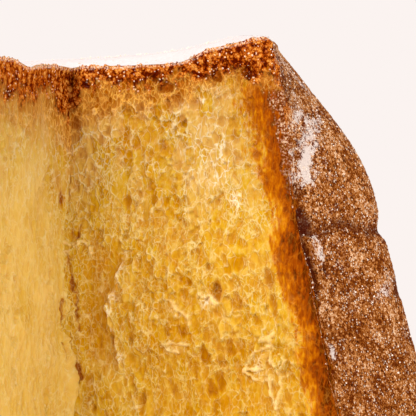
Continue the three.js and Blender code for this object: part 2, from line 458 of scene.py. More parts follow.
# Flaps that hang from the right face where the crumb tore: points along each, reach and height,
# and half width
RIGHT_FLAPS = (
    (((49.1, 117.6), (51.1, 117.4), (52.2, 118.2), (53.3, 119.1)), 0.5),
    (((51.9, 117.9), (52.2, 116.1)), 0.6),
    (((52.2, 116.1), (49.2, 115.2), (47.2, 113.7), (45.8, 111.3), (44.5, 109.9)), 0.55),
    (((44.5, 109.9), (47.5, 108.7), (50.1, 108.4), (52.0, 108.0)), 0.3),
    (((46.3, 111.0), (48.3, 110.5), (49.9, 110.9), (50.5, 110.0), (51.4, 109.5)), 0.4),
    (
        ((52.2, 116.1), (51.7, 114.1), (51.4, 112.6), (52.8, 110.8), (53.6, 108.5), (53.7, 105.3),
         (52.3, 101.4)),
        0.6,
    ),
    (((51.5, 109.1), (51.2, 107.0), (51.2, 104.9), (52.0, 102.6)), 0.35),
    (((53.0, 113.8), (54.5, 113.7), (55.3, 112.8), (54.5, 112.0), (53.6, 111.4)), 0.3),
    (((25.0, 116.1), (27.7, 116.3), (31.3, 116.1)), 0.45),
    (((25.0, 115.8), (26.5, 114.4), (28.9, 113.8)), 0.3),
    (((26.5, 126.1), (28.9, 124.8), (31.3, 122.9), (32.5, 120.7)), 0.55),
    (((34.5, 127.4), (37.0, 127.0), (39.0, 125.6)), 0.7),
    (((40.4, 132.7), (43.1, 131.6), (44.1, 130.6)), 0.35),
    (((20.2, 142.6), (21.3, 141.6), (21.0, 140.2)), 0.3),
    (
        ((0.0, 141.0), (1.2, 139.6), (2.8, 139.4), (4.2, 140.2), (5.6, 139.9), (6.7, 138.8), (7.3, 137.6)),
        0.5,
    ),
    (((0.4, 137.4), (1.7, 137.8), (3.0, 138.4), (4.3, 139.6)), 0.3),
)
# Cracks beside the inner corner: two ends, each a reach and a height, half width and depth
RIGHT_CRACKS = (
    ((3.7, 144.0), (3.9, 141.0), 0.4, 2.6),
    ((2.2, 142.2), (3.5, 141.2), 0.7, 1.4),
    ((1.7, 137.2), (2.2, 132.4), 0.4, 2.2),
    ((2.5, 132.2), (3.4, 128.0), 0.55, 2.8),
    ((3.4, 127.0), (4.2, 119.0), 0.5, 2.0),
    ((3.2, 110.8), (3.9, 107.6), 0.6, 2.8),
    ((3.4, 107.6), (1.2, 98.5), 0.45, 2.8),
)
LEFT_CRACKS = (
    ((3.3, 126.5), (2.9, 119.4), 0.42, 2.8),
    ((3.0, 116.0), (2.9, 112.0), 0.4, 2.4),
    ((4.4, 155.0), (4.0, 153.6), 1.5, 1.6),
    ((2.6, 151.4), (2.2, 149.6), 1.3, 2.2),
)
RIGHT_DEPTH = 0.5
RIGHT_PASSAGE = 12.5
LEFT_PASSAGE = 19
LEFT_DEPTH = 0.25
RIGHT_SEED = 31
LEFT_SEED = 57

# The camera, from the photograph
AZIMUTH = math.radians(20)
DISTANCE = 0.630
EYE_HEIGHT = 0.148
PHOTO_WIDE = 416
PIXELS_PER_METRE = 4200
AXIS_PIXEL = 65

# The studio: each light's name, place, size, power and colour
LIGHTS = (
    ("key", (-0.25, -0.75, 0.65), 0.45, 7.0, (1.0, 0.97, 0.93)),
    ("fill", (0.85, -0.35, 0.40), 0.5, 3.0, (1.0, 0.97, 0.95)),
)
LIGHT_TARGET = (0.0, 0.0, 0.13)
FLOOR_RADIUS = 0.85
FLOOR_SEGMENTS = 64

# Colours as a screen shows them; in a ramp each follows its position
GOLDEN_RAMP = ((0.0, 204, 168, 78), (0.25, 193, 149, 22), (0.5, 185, 130, 0), (0.9, 168, 102, 0))
RIND_RAMP = (
    (0.18, 198, 149, 37),
    (0.30, 193, 134, 20),
    (0.40, 184, 114, 8),
    (0.50, 170, 95, 4),
    (0.62, 155, 79, 3),
    (0.74, 136, 61, 3),
    (0.88, 122, 50, 4),
    (1.0, 84, 28, 0),
)
FLECK_RAMP = ((0.38, 80, 32, 6), (0.52, 128, 68, 26), (0.68, 208, 178, 150))
TOASTED_RAMP = ((0.20, 80, 16, 0), (0.40, 128, 48, 4), (0.60, 176, 88, 15), (0.84, 214, 141, 60))
CRUST_RAMP = ((0.20, 88, 33, 0), (0.40, 138, 74, 16), (0.60, 182, 122, 66), (0.84, 226, 190, 154))
CRUST_RIND_RAMP = ((0.20, 92, 30, 0), (0.50, 168, 80, 4), (0.84, 222, 146, 60))
SUNK_PAINTED_SHADE = (178, 120, 2)
FILM_TAN = (204, 162, 98)
CREAM = (228, 194, 116)
CRACK_PAINTED_SHADE = (142, 76, 0)
THREAD_LOW = (214, 189, 122)
THREAD_HIGH = (218, 198, 152)
THREAD_TORN = (234, 220, 188)
THREAD_BAKED = (200, 122, 24)
HIGH_PAINTED_SHADE = (240, 242, 247)
FLAP_PALE = (234, 206, 142)
PAINTED_GLINT_WHITE = (248, 224, 198)
DUST_WHITE = (240, 212, 188)
BAKED_DARK = (146, 80, 2)
BAKED_LIGHT = (214, 159, 68)
BAKED_HOLLOW_SHADE = (124, 56, 0)
PIT_PAINTED_SHADE = (62, 20, 2)
GAP_SHADE_DARK = (38, 2, 0)
GAP_SHADE_SOFT = (84, 24, 6)
DOT_WHITE = (246, 224, 200)
POWDER_WHITE = (208, 196, 188)
SUGAR_SHADES = ((202, 192, 190), (224, 216, 216))
SUGAR_SPECK = (206, 160, 112)
GRAIN_SHADES = ((240, 212, 186), (254, 246, 236))
FLOOR_SHADES = ((244, 236, 231), (248, 241, 237))
BACKDROP = (251, 243, 240)

# Sizes in the finishes, in millimetres: nets of pore walls, grains of toasted crumb and of crust
FINE_NET = 1.0
COARSE_NET = 2.3
WIDE_NET = 3.8
TOASTED_GRAIN = 0.62
CRUST_GRAIN = 0.8
CRUST_PIT = 1.5
SUGAR_DOT = 0.62
HIGH_CRUMB = (135.0, 168.0)
DUSTY_CRUMB = (148.0, 166.0)
HIGH_CRUST = (115.0, 165.0)

# Bands of the finishes: where each look begins and where it is full
RIND_BAND = (0.3, 0.7)
NEAR_CRUST_BAND = (0.0, 0.3)
FILM_BAND = (0.42, 0.52)
VEIL_BAND = (0.38, 0.60)
PATCH_BAND = (0.36, 0.62)
FINE_LINE_BAND = (0.01, 0.14)
COARSE_LINE_BAND = (0.0, 0.08)
WIDE_LINE_BAND = (0.0, 0.06)
WEB_BAND = (0.08, 1.05)
OPENED_BAND = (0.04, 0.3)
CREAM_BAND = (0.45, 0.75)
DEEP_BAND = (0.7, 1.0)
CRACK_BAND = (0.3, 1.0)
BAKE_BAND = (0.02, 0.32)
THREAD_BAND = (0.05, 0.55)
DUSTY_BAND = (0.84, 0.92)
TOP_SKIN_BAND = (0.89, 1.0)
UNDER_SKIN_BAND = (0.86, 0.74)
PAINTED_GLINT_BAND = (0.76, 0.86)
PAINTED_GLINT_SIZE_BAND = (0.42, 0.2)
OUT_OF_SLIT_BAND = (0.97, 0.75)
DUST_BAND = (0.89, 0.99)
DUST_SPECK_BAND = (0.42, 0.6)
SINGE_BAND = (0.40, 0.76)
AMBER_BAND = (0.0, 0.8)
GLINT_BAND = (0.75, 0.95)
PIT_BAND = (0.24, 0.08)
DOT_BAND = (0.74, 0.96)
DOT_SIZE_BAND = (0.46, 0.16)
POWDER_BAND = (0.44, 0.92)
SPECK_BAND = (0.63, 0.72)

# The numbers that scramble the noises
LATTICE_STEPS = (127.1, 311.7, 74.7)
LATTICE_SCALE = 43758.5453
HASH_FACTORS = (73856093, 19349663, 83492791, 26544357)
HASH_SHIFTS = (13, 16)
HASH_MIX = 1274126177
HASH_MASK = 0xFFFFFFFF


# Blends and smooth noise, the same as the solid's
def rounded_min(a, b, blend):
    share = np.clip(0.5 + 0.5 * (b - a) / blend, 0, 1)
    return b + (a - b) * share - blend * share * (1 - share)


def rounded_max(a, b, blend):
    return -rounded_min(-a, -b, blend)


def smooth_step(value, low, high):
    share = np.clip((value - low) / (high - low), 0, 1)
    return share * share * (3 - 2 * share)


def lattice_value(i, j, seed):
    step_i, step_j, step_seed = LATTICE_STEPS
    wave = np.sin(i * step_i + j * step_j + seed * step_seed) * LATTICE_SCALE
    return 2 * (wave - np.floor(wave)) - 1


def flat_noise(x, y, seed):
    i = np.floor(x)
    j = np.floor(y)
    u = smooth_step(x - i, 0, 1)
    v = smooth_step(y - j, 0, 1)
    low = lattice_value(i, j, seed) * (1 - u) + lattice_value(i + 1, j, seed) * u
    high = lattice_value(i, j + 1, seed) * (1 - u) + lattice_value(i + 1, j + 1, seed) * u
    return low * (1 - v) + high * v


# A sum of noises, each a strength, two widths and a seed; with a fixed y they run along a line
def noise_sum(x, y, *parts):
    return sum(strength * flat_noise(x / wide, y / tall, seed) for strength, wide, tall, seed in parts)


# Noise in space, for what lies all over the crust
def cell_hash(i, j, k, seed):
    mixed = 0
    for number, factor in zip((i, j, k, seed), HASH_FACTORS):
        mixed = mixed ^ (number * factor)
    mixed = mixed & HASH_MASK
    mixed = ((mixed ^ (mixed >> HASH_SHIFTS[0])) * HASH_MIX) & HASH_MASK
    mixed = mixed ^ (mixed >> HASH_SHIFTS[1])
    return mixed / HASH_MASK


def space_noise(points, cell, seed):
    spot = points / cell
    base = np.floor(spot)
    share = smooth_step(spot - base, 0, 1)
    base = base.astype(np.int64)
    total = np.zeros(len(points))
    for step in np.ndindex(2, 2, 2):
        weight = np.ones(len(points))
        for axis in range(3):
            weight *= share[:, axis] if step[axis] else 1 - share[:, axis]
        corner = base + step
        total += weight * cell_hash(corner[:, 0], corner[:, 1], corner[:, 2], seed)
    return 2 * total - 1


def space_sum(points, *parts):
    return sum(strength * space_noise(points, cell, seed) for strength, cell, seed in parts)


# Distance to the nearest of many scattered grains, as a share of the cell that holds one grain
def grain_distance(points, cell, seed):
    spot = points / cell
    base = np.floor(spot).astype(np.int64)
    nearest = np.full(len(points), np.inf)
    for step in np.ndindex(3, 3, 3):
        near = base + step - 1
        i, j, k = near.T
        away = (spot[:, 0] - i - cell_hash(i, j, k, seed)) ** 2
        away += (spot[:, 1] - j - cell_hash(i, j, k, seed + 1)) ** 2
        away += (spot[:, 2] - k - cell_hash(i, j, k, seed + 2)) ** 2
        nearest = np.minimum(nearest, away)
    return np.sqrt(nearest)


# The star: crests that turn in at a shoulder, valleys that run almost straight to the rim
def crest_radius(below):
    shoulder = RIM_CREST + SHOULDER_SLOPE * below
    side = BASE_CREST - CREST_TAPER * (HEIGHT - below)
    return rounded_min(shoulder, side, SHOULDER_ROUND)


def valley_radius(below):
    neck = RIM_VALLEY + VALLEY_TOP_SLOPE * below
    side = BASE_VALLEY - VALLEY_TAPER * (HEIGHT - below)
    from_bulge = (below - VALLEY_BULGE_BELOW) / VALLEY_BULGE_REACH
    return rounded_max(neck, side, VALLEY_ROUND) + VALLEY_BULGE * np.exp(-(from_bulge**2))


def angle_from_crest(angle):
    turn = np.mod(angle * LOBES / (2 * math.pi), 1)
    sharp = np.abs(2 * turn - 1) * HALF_LOBE
    blunt = CREST_ROUND * HALF_LOBE
    return HALF_LOBE * (np.hypot(sharp, blunt) - blunt) / (math.hypot(HALF_LOBE, blunt) - blunt)


def signed_turn(angle):
    return np.mod(angle + math.pi, 2 * math.pi) - math.pi


def fold_below_rim(lobe):
    return FOLD_BELOW_RIM + FOLD_WANDER * np.sin(FOLD_TURN * lobe)


def star_radius(angle, below):
    crest = crest_radius(below)
    valley = valley_radius(below)
    turn = angle_from_crest(angle)
    lean = (1 / valley - math.cos(HALF_LOBE) / crest) / math.sin(HALF_LOBE)
    star = 1 / (np.cos(turn) / crest + lean * np.sin(turn))
    share = 1 - turn / HALF_LOBE
    around = signed_turn(angle)
    swell = CRUST_SWELL * share * flat_noise(around * BASE_VALLEY / SWELL_CELL, below / SWELL_CELL, 1)
    lobe = np.floor(around / (2 * HALF_LOBE))
    fold = FOLD_DEPTH * share * np.exp(-(((below - fold_below_rim(lobe)) / FOLD_WIDTH) ** 2))
    return star + swell - fold


def dish_depth(x, y):
    from_centre = np.hypot(x - DISH_CENTRE[0], y - DISH_CENTRE[1])
    floor = 1 - smooth_step(from_centre, DISH_STEP_FOOT, DISH_STEP_HEAD)
    rim = 1 - smooth_step(np.hypot(x, y), LIP_FROM, RIM_VALLEY)
    from_bulge = np.hypot(x - DISH_BULGE_AT[0], y - DISH_BULGE_AT[1]) / DISH_BULGE_WIDE
    bulge = DISH_BULGE * np.exp(-(from_bulge**2))
    return (DISH_FLOOR - DISH_LIP) * floor + DISH_LIP * rim - bulge


def rim_rise(angle, radius):
    share = np.minimum(radius / RIM_VALLEY, 1)
    apart = signed_turn(angle) - RIM_SWELL_TOWARDS
    swell = RIM_SWELL * share**4 * np.exp(-((apart / RIM_SWELL_WIDTH) ** 2))
    corner = CORNER_SWELL * share**6 * np.exp(-((signed_turn(angle) / CORNER_SWELL_WIDTH) ** 2))
    return TOP_TILT * share * np.cos(angle - TOP_TILT_TOWARDS) + swell + corner


# The two cut faces before their pores: how far each stands out of its plane
def tear_relief(out, z, seed):
    broad = (TEAR_SHARES[0], TEAR_CELL, TEAR_TALL * TEAR_CELL, seed)
    fine = (TEAR_SHARES[1], TEAR_FINE_CELL, TEAR_TALL * TEAR_FINE_CELL, seed + 1)
    return TEAR_RELIEF * noise_sum(out, z, broad, fine)


def right_front(out, z):
    lip = LIP * np.exp(-(((HEIGHT - z - LIP_BELOW_RIM) / LIP_REACH) ** 4))
    return -lip - tear_relief(out, z, RIGHT_TEAR_SEED)


def left_front(out, z):
    return tear_relief(out, z, LEFT_TEAR_SEED)


# The crumb all but closes the slit between the two faces, except near the top
def slit_depth(z):
    uneven = SLIT_MEAN + noise_sum(z, 0.5, SLIT_UNEVEN)
    opening = SLIT_CLOSED + (1 - SLIT_CLOSED) * smooth_step(z, SLIT_OPEN_FROM, SLIT_OPEN_FULL)
    return SLIT_DEPTH * uneven * opening


# Below the open slit the crumb of the two faces runs together in a soft, uneven corner
def fillet(out, z):
    uneven = FILLET_MEAN + noise_sum(z, 0.5, FILLET_UNEVEN)
    closed = 1 - smooth_step(z, SLIT_OPEN_FROM - FILLET_FADE, SLIT_OPEN_FULL)
    return FILLET * uneven * closed * np.exp(-np.maximum(out, 0) / FILLET_REACH)


def curtain(out, z):
    ragged = noise_sum(z, 0.5, *CURTAIN_RAGGED)
    reach = np.interp(z, CURTAIN_HEIGHTS, CURTAIN_REACHES, left=0, right=0)
    return reach * (1 + ragged) * (1 - smooth_step(out, *CURTAIN_WIDE))


# Meshes start as a grid whose vertices know their column and row
def unit_grid(columns, rows):
    bm = bmesh.new()
    bmesh.ops.create_grid(bm, x_segments=columns - 1, y_segments=rows - 1, size=0.5)
    spots = np.array([vertex.co[:] for vertex in bm.verts])
    column = np.rint((spots[:, 0] + 0.5) * (columns - 1)).astype(int)
    row = np.rint((spots[:, 1] + 0.5) * (rows - 1)).astype(int)
    return bm, column, row


def place_vertices(bm, places):
    for vertex, place in zip(bm.verts, (places * MM).tolist()):
        vertex.co = place


def add_layers(bm, **layers):
    for name, values in layers.items():
        layer = bm.verts.layers.float.new(name)
        for vertex, value in zip(bm.verts, values.tolist()):
            vertex[layer] = value


def read_layer(bm, name):
    layer = bm.verts.layers.float[name]
    return np.array([vertex[layer] for vertex in bm.verts])


def add_piece(mesh, material, replaces):
    mesh.materials.append(material)
    piece = bpy.data.objects.new(mesh.name, mesh)
    bpy.context.scene.collection.objects.link(piece)
    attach(piece, BODY)
    if replaces:
        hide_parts(NODE)
    return piece


def bmesh_piece(bm, name, material, replaces=True):
    mesh = bpy.data.meshes.new(name)
    bm.to_mesh(mesh)
    bm.free()
    mesh.shade_smooth()
    return add_piece(mesh, material, replaces)


def open_rim(bm):
    return [item for item in bm.edges if item.is_boundary]


# Each rim edge gets a new face, in the order of the edges, so that every run makes the same mesh
def extrude_rim(bm):
    rim = open_rim(bm)
    moved = {}
    for item in rim:
        for vertex in item.verts:
            if vertex not in moved:
                moved[vertex] = bm.verts.new(vertex.co, vertex)
    for item in rim:
        first, second = item.verts
        bm.faces.new((second, first, moved[first], moved[second]))
    return list(moved.values())


# The crust's rows: a round blank's outline from the middle of the base to the middle of the top
def blank_rows():
    base_flat = BASE_CREST - BASE_EDGE
    rim_flat = float(crest_radius(TOP_EDGE)) - TOP_EDGE
    rows = [(radius, 0.0) for radius in np.linspace(0, base_flat, BASE_ROWS)]
    for turn in np.linspace(0, math.pi / 2, BASE_EDGE_ROWS)[1:-1]:
        rows.append((base_flat + BASE_EDGE * math.sin(turn), BASE_EDGE * (1 - math.cos(turn))))
    low = np.arange(BASE_EDGE, FINE_FROM, CRUST_ROW_LOW)
    high = np.arange(FINE_FROM, HEIGHT - TOP_EDGE, CRUST_ROW)
    for z in np.concatenate([low, high]):
        rows.append((float(crest_radius(HEIGHT - z)), z))
    for turn in np.linspace(0, math.pi / 2, TOP_EDGE_ROWS):
        rows.append((rim_flat + TOP_EDGE * math.cos(turn), HEIGHT - TOP_EDGE * (1 - math.sin(turn))))
    for share in np.linspace(1, 0, TOP_ROWS)[1:]:
        rows.append((rim_flat * share, HEIGHT))
    return np.array(rows).T


BLANK_RADIUS, BLANK_HEIGHT = blank_rows()
ON_TOP = HEIGHT - TOP_EDGE / 100


def crust_point(angle, blank_radius, blank_height):
    below = np.clip(HEIGHT - blank_height, TOP_EDGE, HEIGHT - BASE_EDGE)
    radius = blank_radius * star_radius(angle, below) / crest_radius(below)
    lean = 1 - smooth_step(HEIGHT - blank_height, 0, TILT_DEPTH)
    x = radius * np.cos(angle)
    y = radius * np.sin(angle)
    z = blank_height + lean * rim_rise(angle, blank_radius)
    z = z - np.where(blank_height > ON_TOP, dish_depth(x, y), 0)
    return np.stack([x, y, z], -1)


# Where the crust ends on the two cut faces
def cut_angles(blank_radius, blank_height):
    reach = np.maximum(blank_radius, AXIS_REACH)
    clear = smooth_step(blank_radius, *AXIS_CLEAR)
    start = clear * np.arcsin(right_front(blank_radius, blank_height) / reach)
    end = CUT_END + clear * np.arcsin(left_front(blank_radius, blank_height) / reach)
    return start, end


def polar(places):
    return np.arctan2(places[:, 1], places[:, 0]), np.hypot(places[:, 0], places[:, 1])


# Near the axis the top and the base open along the slit
def open_slit(places):
    angle, radius = polar(places)
    turned = np.mod(angle + SLIT_TURN, 2 * math.pi) - SLIT_TURN
    width = SLIT_WIDTH + (SLIT_WIDTH_BEHIND - SLIT_WIDTH) * smooth_step(turned, *SLIT_WIDENS)
    places[:, 1] += slit_depth(places[:, 2]) * np.clip(1 - radius / width, 0, 1)
    return places


def crust_relief(places, on_top):
    bumps = GRAIN_LEVEL - grain_distance(places, GRAIN_CELL, GRAIN_SEED)
    pits = np.clip(PIT_SIZE - grain_distance(places, PIT_CELL, PIT_SEED), 0, 1)
    waves = space_noise(places, WAVE_CELL, WAVE_SEED)
    relief = GRAIN_RELIEF * bumps + WAVE_RELIEF * waves - PIT_RELIEF * pits
    return relief * np.where(on_top, TOP_RELIEF_SHARE, 1) * np.clip(places[:, 2] / BASE_FADE, 0, 1)


def from_segment(x, y, start, end):
    run_x = end[0] - start[0]
    run_y = end[1] - start[1]
    share = ((x - start[0]) * run_x + (y - start[1]) * run_y) / (run_x**2 + run_y**2)
    share = np.clip(share, 0, 1)
    return np.hypot(x - start[0] - share * run_x, y - start[1] - share * run_y)


def sugar_cover(places):
    angle, radius = polar(places)
    z = places[:, 2]
    broad = space_sum(places, *SUGAR_BROAD)
    cover = SUGAR_LEAST + SUGAR_HIGH * smooth_step(z, *SUGAR_HIGH_FADE) + SUGAR_SPREAD * broad
    ragged = space_sum(places, *SUGAR_RAGGED)
    lobe = np.floor(angle / (2 * HALF_LOBE))
    around = np.mod(angle, 2 * HALF_LOBE)
    in_lobe = smooth_step(np.minimum(around, 2 * HALF_LOBE - around), *SMEAR_LOBE_EDGE)
    share = np.where(lobe == 0, 1, in_lobe * np.cos(SMEAR_TURNS[0] * lobe) ** 2)
    across = (around + SMEAR_SHIFT * np.sin(SMEAR_TURNS[1] * lobe)) * SMEAR_RADIUS
    up = z + SMEAR_RISE * np.sin(SMEAR_TURNS[2] * lobe)
    edge, soft = SMEAR_EDGE
    for turn_a, z_a, turn_b, z_b, wide, strength in SUGAR_SMEARS:
        start = (math.radians(turn_a) * SMEAR_RADIUS, z_a)
        end = (math.radians(turn_b) * SMEAR_RADIUS, z_b)
        away = from_segment(across, up, start, end) / wide
        cover = np.maximum(cover, share * strength * smooth_step(edge - away + ragged, 0, soft))
    drift = np.clip(space_noise(places, DRIFT_CELL, DRIFT_SEED) - DRIFT_FROM, 0, 1)
    cover += DRIFT * drift * (1 + space_noise(places, DRIFT_FINE_CELL, DRIFT_FINE_SEED))
    behind = smooth_step(np.abs(signed_turn(angle)), *TOP_SUGAR_TURN)
    reach = RIM_VALLEY - TOP_SUGAR_INSET + TOP_SUGAR_BEHIND * behind
    inside = smooth_step(reach - radius + TOP_SUGAR_RAGGED * broad, *TOP_SUGAR_SOFT)
    low, high = TOP_SUGAR_BELOW
    top = inside * smooth_step(z, HEIGHT - low, HEIGHT - high)
    return np.clip(np.maximum(cover, top), 0, 1)


# Where the crust has come away from the crumb beside the cut, and in the fold, it is painted dark: painted
# shade in the gap and in the crease
def gaps_and_shade(places):
    turn, radius = polar(places)
    angle = np.degrees(signed_turn(turn))
    z = places[:, 2]
    ragged = space_sum(places, *SHADED_GAP_RAGGED)
    from_crack = np.abs(angle - np.interp(z, CRACK_HEIGHTS, CRACK_TURNS)) * np.radians(radius)
    half = np.interp(z, CRACK_HEIGHTS, CRACK_HALF_WIDTHS, 0, 0)
    scorch = smooth_step(half + CRACK_SOFT * ragged * (half > 0) - from_crack, 0, CRACK_SOFT)
    for at, height, wide, tall, strength in SHADED_SPOTS:
        away = ((angle - at) / wide) ** 2 + ((z - height) / tall) ** 2
        scorch = np.maximum(scorch, strength * smooth_step(SPOT_EDGE - away + ragged, 0, 1))
    lobe = np.floor(np.radians(angle) / (2 * HALF_LOBE))
    from_fold = z - (HEIGHT - fold_below_rim(lobe)) - space_sum(places, SHADED_FOLD_WANDER)
    in_fold = np.exp(-((from_fold / FOLD_SHADE_WIDTH) ** 2))
    scorch = np.maximum(scorch, FOLD_SHADE * (1 + ragged) * in_fold)
    return np.clip(scorch, 0, 1) * smooth_step(radius, *FLANK_FROM)


# Beside the cut the crust shows the orange-brown of the rind
def toast_share(places):
    angle, radius = polar(places)
    from_cut = radius * np.minimum(np.abs(angle), np.abs(angle + math.pi / 2))
    low, high = TOAST_TOP
    reach = TOAST_REACH + TOAST_REACH_TOP * smooth_step(places[:, 2], HEIGHT - low, HEIGHT - high)
    return smooth_step(reach + TOAST_FRAY * space_sum(places, *TOAST_RAGGED) - from_cut, 0, TOAST_SOFT)


def make_crust(material):
    columns = FRONT_COLUMNS + BACK_COLUMNS
    rows = len(BLANK_RADIUS)
    bm, column, row = unit_grid(columns, rows)
    add_layers(bm, column=column, row=row)
    refine_front(bm)
    column = read_layer(bm, "column")
    row = read_layer(bm, "row")
    radius = np.interp(row, np.arange(rows), BLANK_RADIUS)
    height = np.interp(row, np.arange(rows), BLANK_HEIGHT)
    start, end = cut_angles(radius, height)
    front = np.minimum(column, FRONT_COLUMNS) / FRONT_COLUMNS
    back = np.maximum(column - FRONT_COLUMNS, 0) / (columns - 1 - FRONT_COLUMNS)
    angle = start + (FRONT_ANGLE - start) * front + (end - FRONT_ANGLE) * back
    places = crust_point(angle, radius, height)
    outward = np.stack([np.cos(angle), np.sin(angle), np.full_like(angle, OUTWARD_RISE)], -1)
    upward = np.array([0.0, 0.0, 1.0])
    direction = np.where((height > ON_TOP)[:, None], upward, outward)
    scorch = gaps_and_shade(places)
    toast = toast_share(places)
    cover = sugar_cover(places) * (1 - SHADED_GAP_SUGAR_LOSS * scorch)
    bare = 1 - SUGARED_RELIEF_LOSS * smooth_step(cover, *SUGARED)
    relief = crust_relief(places, height > ON_TOP) * bare - SHADED_GAP_SINK * scorch
    places += relief[:, None] * direction
    place_vertices(bm, open_slit(places))
    add_layers(bm, sugar=cover, scorch=scorch, toast=toast)
    edge = bm.verts.layers.int.new("edge")
    axis = (row == 0) | (row == rows - 1)
    label = np.select([axis, column == 0, column == columns - 1], [AXIS_EDGE, RIGHT_EDGE, LEFT_EDGE], 0)
    for vertex, value in zip(bm.verts, label.tolist()):
        vertex[edge] = value
    on_axis = [vertex for vertex in bm.verts if vertex[edge] == AXIS_EDGE]
    bmesh.ops.remove_doubles(bm, verts=on_axis, dist=MERGE_WITHIN * MM)
    close_crust(bm, edge)
    bmesh.ops.recalc_face_normals(bm, faces=bm.faces[:])
    return bmesh_piece(bm, "crust", material)


# The flank beside the right cut face is seen from close by, so its quads are split in four
def refine_front(bm):
    column = bm.verts.layers.float["column"]
    row = bm.verts.layers.float["row"]
    low = int(np.argmax(BLANK_HEIGHT > FINE_FROM))
    high = int(np.argmax(BLANK_HEIGHT > ON_TOP))

    def in_front(vertex):
        return vertex[column] <= FRONT_COLUMNS and low <= vertex[row] <= high

    edges = [item for item in bm.edges if all(in_front(vertex) for vertex in item.verts)]
    bmesh.ops.subdivide_edges(bm, edges=edges, cuts=1, use_grid_fill=True)


# Behind the crumb the crust turns in and is closed by two flat faces that meet in a line on the axis
def close_crust(bm, edge):
    for inward, back in CRUST_TURN_IN:
        for vertex in extrude_rim(bm):
            share = vertex.co.z / (HEIGHT * MM)
            move = Vector((-back, back, inward * (1 - 2 * share)))
            if vertex[edge] == RIGHT_EDGE:
                move.x = -inward
            if vertex[edge] == LEFT_EDGE:
                move.y = inward
            vertex.co += move * MM
    rim = open_rim(bm)
    ends = {vertex for item in rim for vertex in item.verts if vertex[edge] == AXIS_EDGE}
    inner = bm.edges.new(sorted(ends, key=lambda vertex: vertex.co.z))
    for side in (RIGHT_EDGE, LEFT_EDGE):
        half = [item for item in rim if all(vertex[edge] in (side, AXIS_EDGE) for vertex in item.verts)]
        bmesh.ops.edgeloop_fill(bm, edges=half + [inner])


def soften(field):
    padded = np.pad(field, 1, mode="edge")
    beside = padded[1:-1, :-2] + padded[1:-1, 2:]
    above = padded[:-2, 1:-1] + padded[2:, 1:-1]
    return 0.5 * field + 0.125 * (beside + above)


# Open pores, crowded together as in foam: rasters of a cut face that hold how deep it is
# and where the walls are
def pack_pores(rng, largest, stretch, lean, placed, passes):
    rows, columns = largest.shape
    nearest = np.full((rows, columns), PORE_FAR)
    second = np.full((rows, columns), PORE_FAR)
    size = np.full((rows, columns), PORE_SMALLEST)
    deep = np.zeros((rows, columns))
    xs = np.arange(columns) * RASTER
    zs = np.arange(rows) * RASTER

    def open_pore(i, j, radius, long, turn, depth, phases):
        reach = int((radius * long * PORE_SPREAD + PORE_MARGIN) / RASTER) + 2
        tall = slice(max(i - reach, 0), i + reach + 1)
        wide = slice(max(j - reach, 0), j + reach + 1)
        dx = (xs[wide] - j * RASTER)[None, :]
        dz = (zs[tall] - i * RASTER)[:, None]
        across = (dx * math.cos(turn) + dz * math.sin(turn)) * long / radius
        along = (dz * math.cos(turn) - dx * math.sin(turn)) / (long * radius)
        bearing = np.arctan2(along, across)
        dent = PORE_DENTS[0] * np.sin(2 * bearing + PORE_PHASE * phases[0])
        dent += PORE_DENTS[1] * np.sin(3 * bearing + PORE_PHASE * phases[1])
        gap = (np.hypot(across, along) * (1 + dent) - 1) * radius
        before = nearest[tall, wide]
        second[tall, wide] = np.minimum(np.maximum(before, gap), second[tall, wide])
        size[tall, wide] = np.where(gap < before, radius, size[tall, wide])
        deep[tall, wide] = np.where(gap < before, depth, deep[tall, wide])
        nearest[tall, wide] = np.minimum(before, gap)

    for out, z, radius, long, depth in placed:
        i = int(z / RASTER)
        j = int(out / RASTER)
        open_pore(i, j, radius, math.sqrt(long), lean[i, j], depth, rng.random(2))
    for low, high, tries in passes:
        spots = (rng.random((tries, 2)) * (rows - 1, columns - 1)).astype(int)
        wanted = rng.uniform(low, high, tries)
        shapes = rng.random((tries, 5))
        for (i, j), want, shape in zip(spots.tolist(), wanted.tolist(), shapes.tolist()):
            radius = min(want, largest[i, j], PORE_CROWDING * nearest[i, j])
            if radius < PORE_KEEP * low:
                continue
            long = math.sqrt(stretch[i, j] * (PORE_LONG[0] + PORE_LONG[1] * shape[0]))
            turn = lean[i, j] + PORE_TURN * (shape[1] - 0.5)
            depth = radius * (PORE_DEEP[0] + PORE_DEEP[1] * shape[4])
            open_pore(i, j, radius, long, turn, depth, shape[2:4])
    from_wall = (second - nearest) / 2
    bowl = np.clip(from_wall / (PORE_BOWL * size), 0, 1)
    return soften(deep * np.sqrt(1 - (1 - bowl) ** 2)), soften(1 - smooth_step(from_wall, 0, PORE_WALL))


def sample(field, out, z):
    row = np.clip(z / RASTER, 0, field.shape[0] - RASTER_END)
    column = np.clip(np.abs(out) / RASTER, 0, field.shape[1] - RASTER_END)
    i = row.astype(int)
    j = column.astype(int)
    v = row - i
    u = column - j
    low = field[i, j] * (1 - u) + field[i, j + 1] * u
    high = field[i + 1, j] * (1 - u) + field[i + 1, j + 1] * u
    return low * (1 - v) + high * v


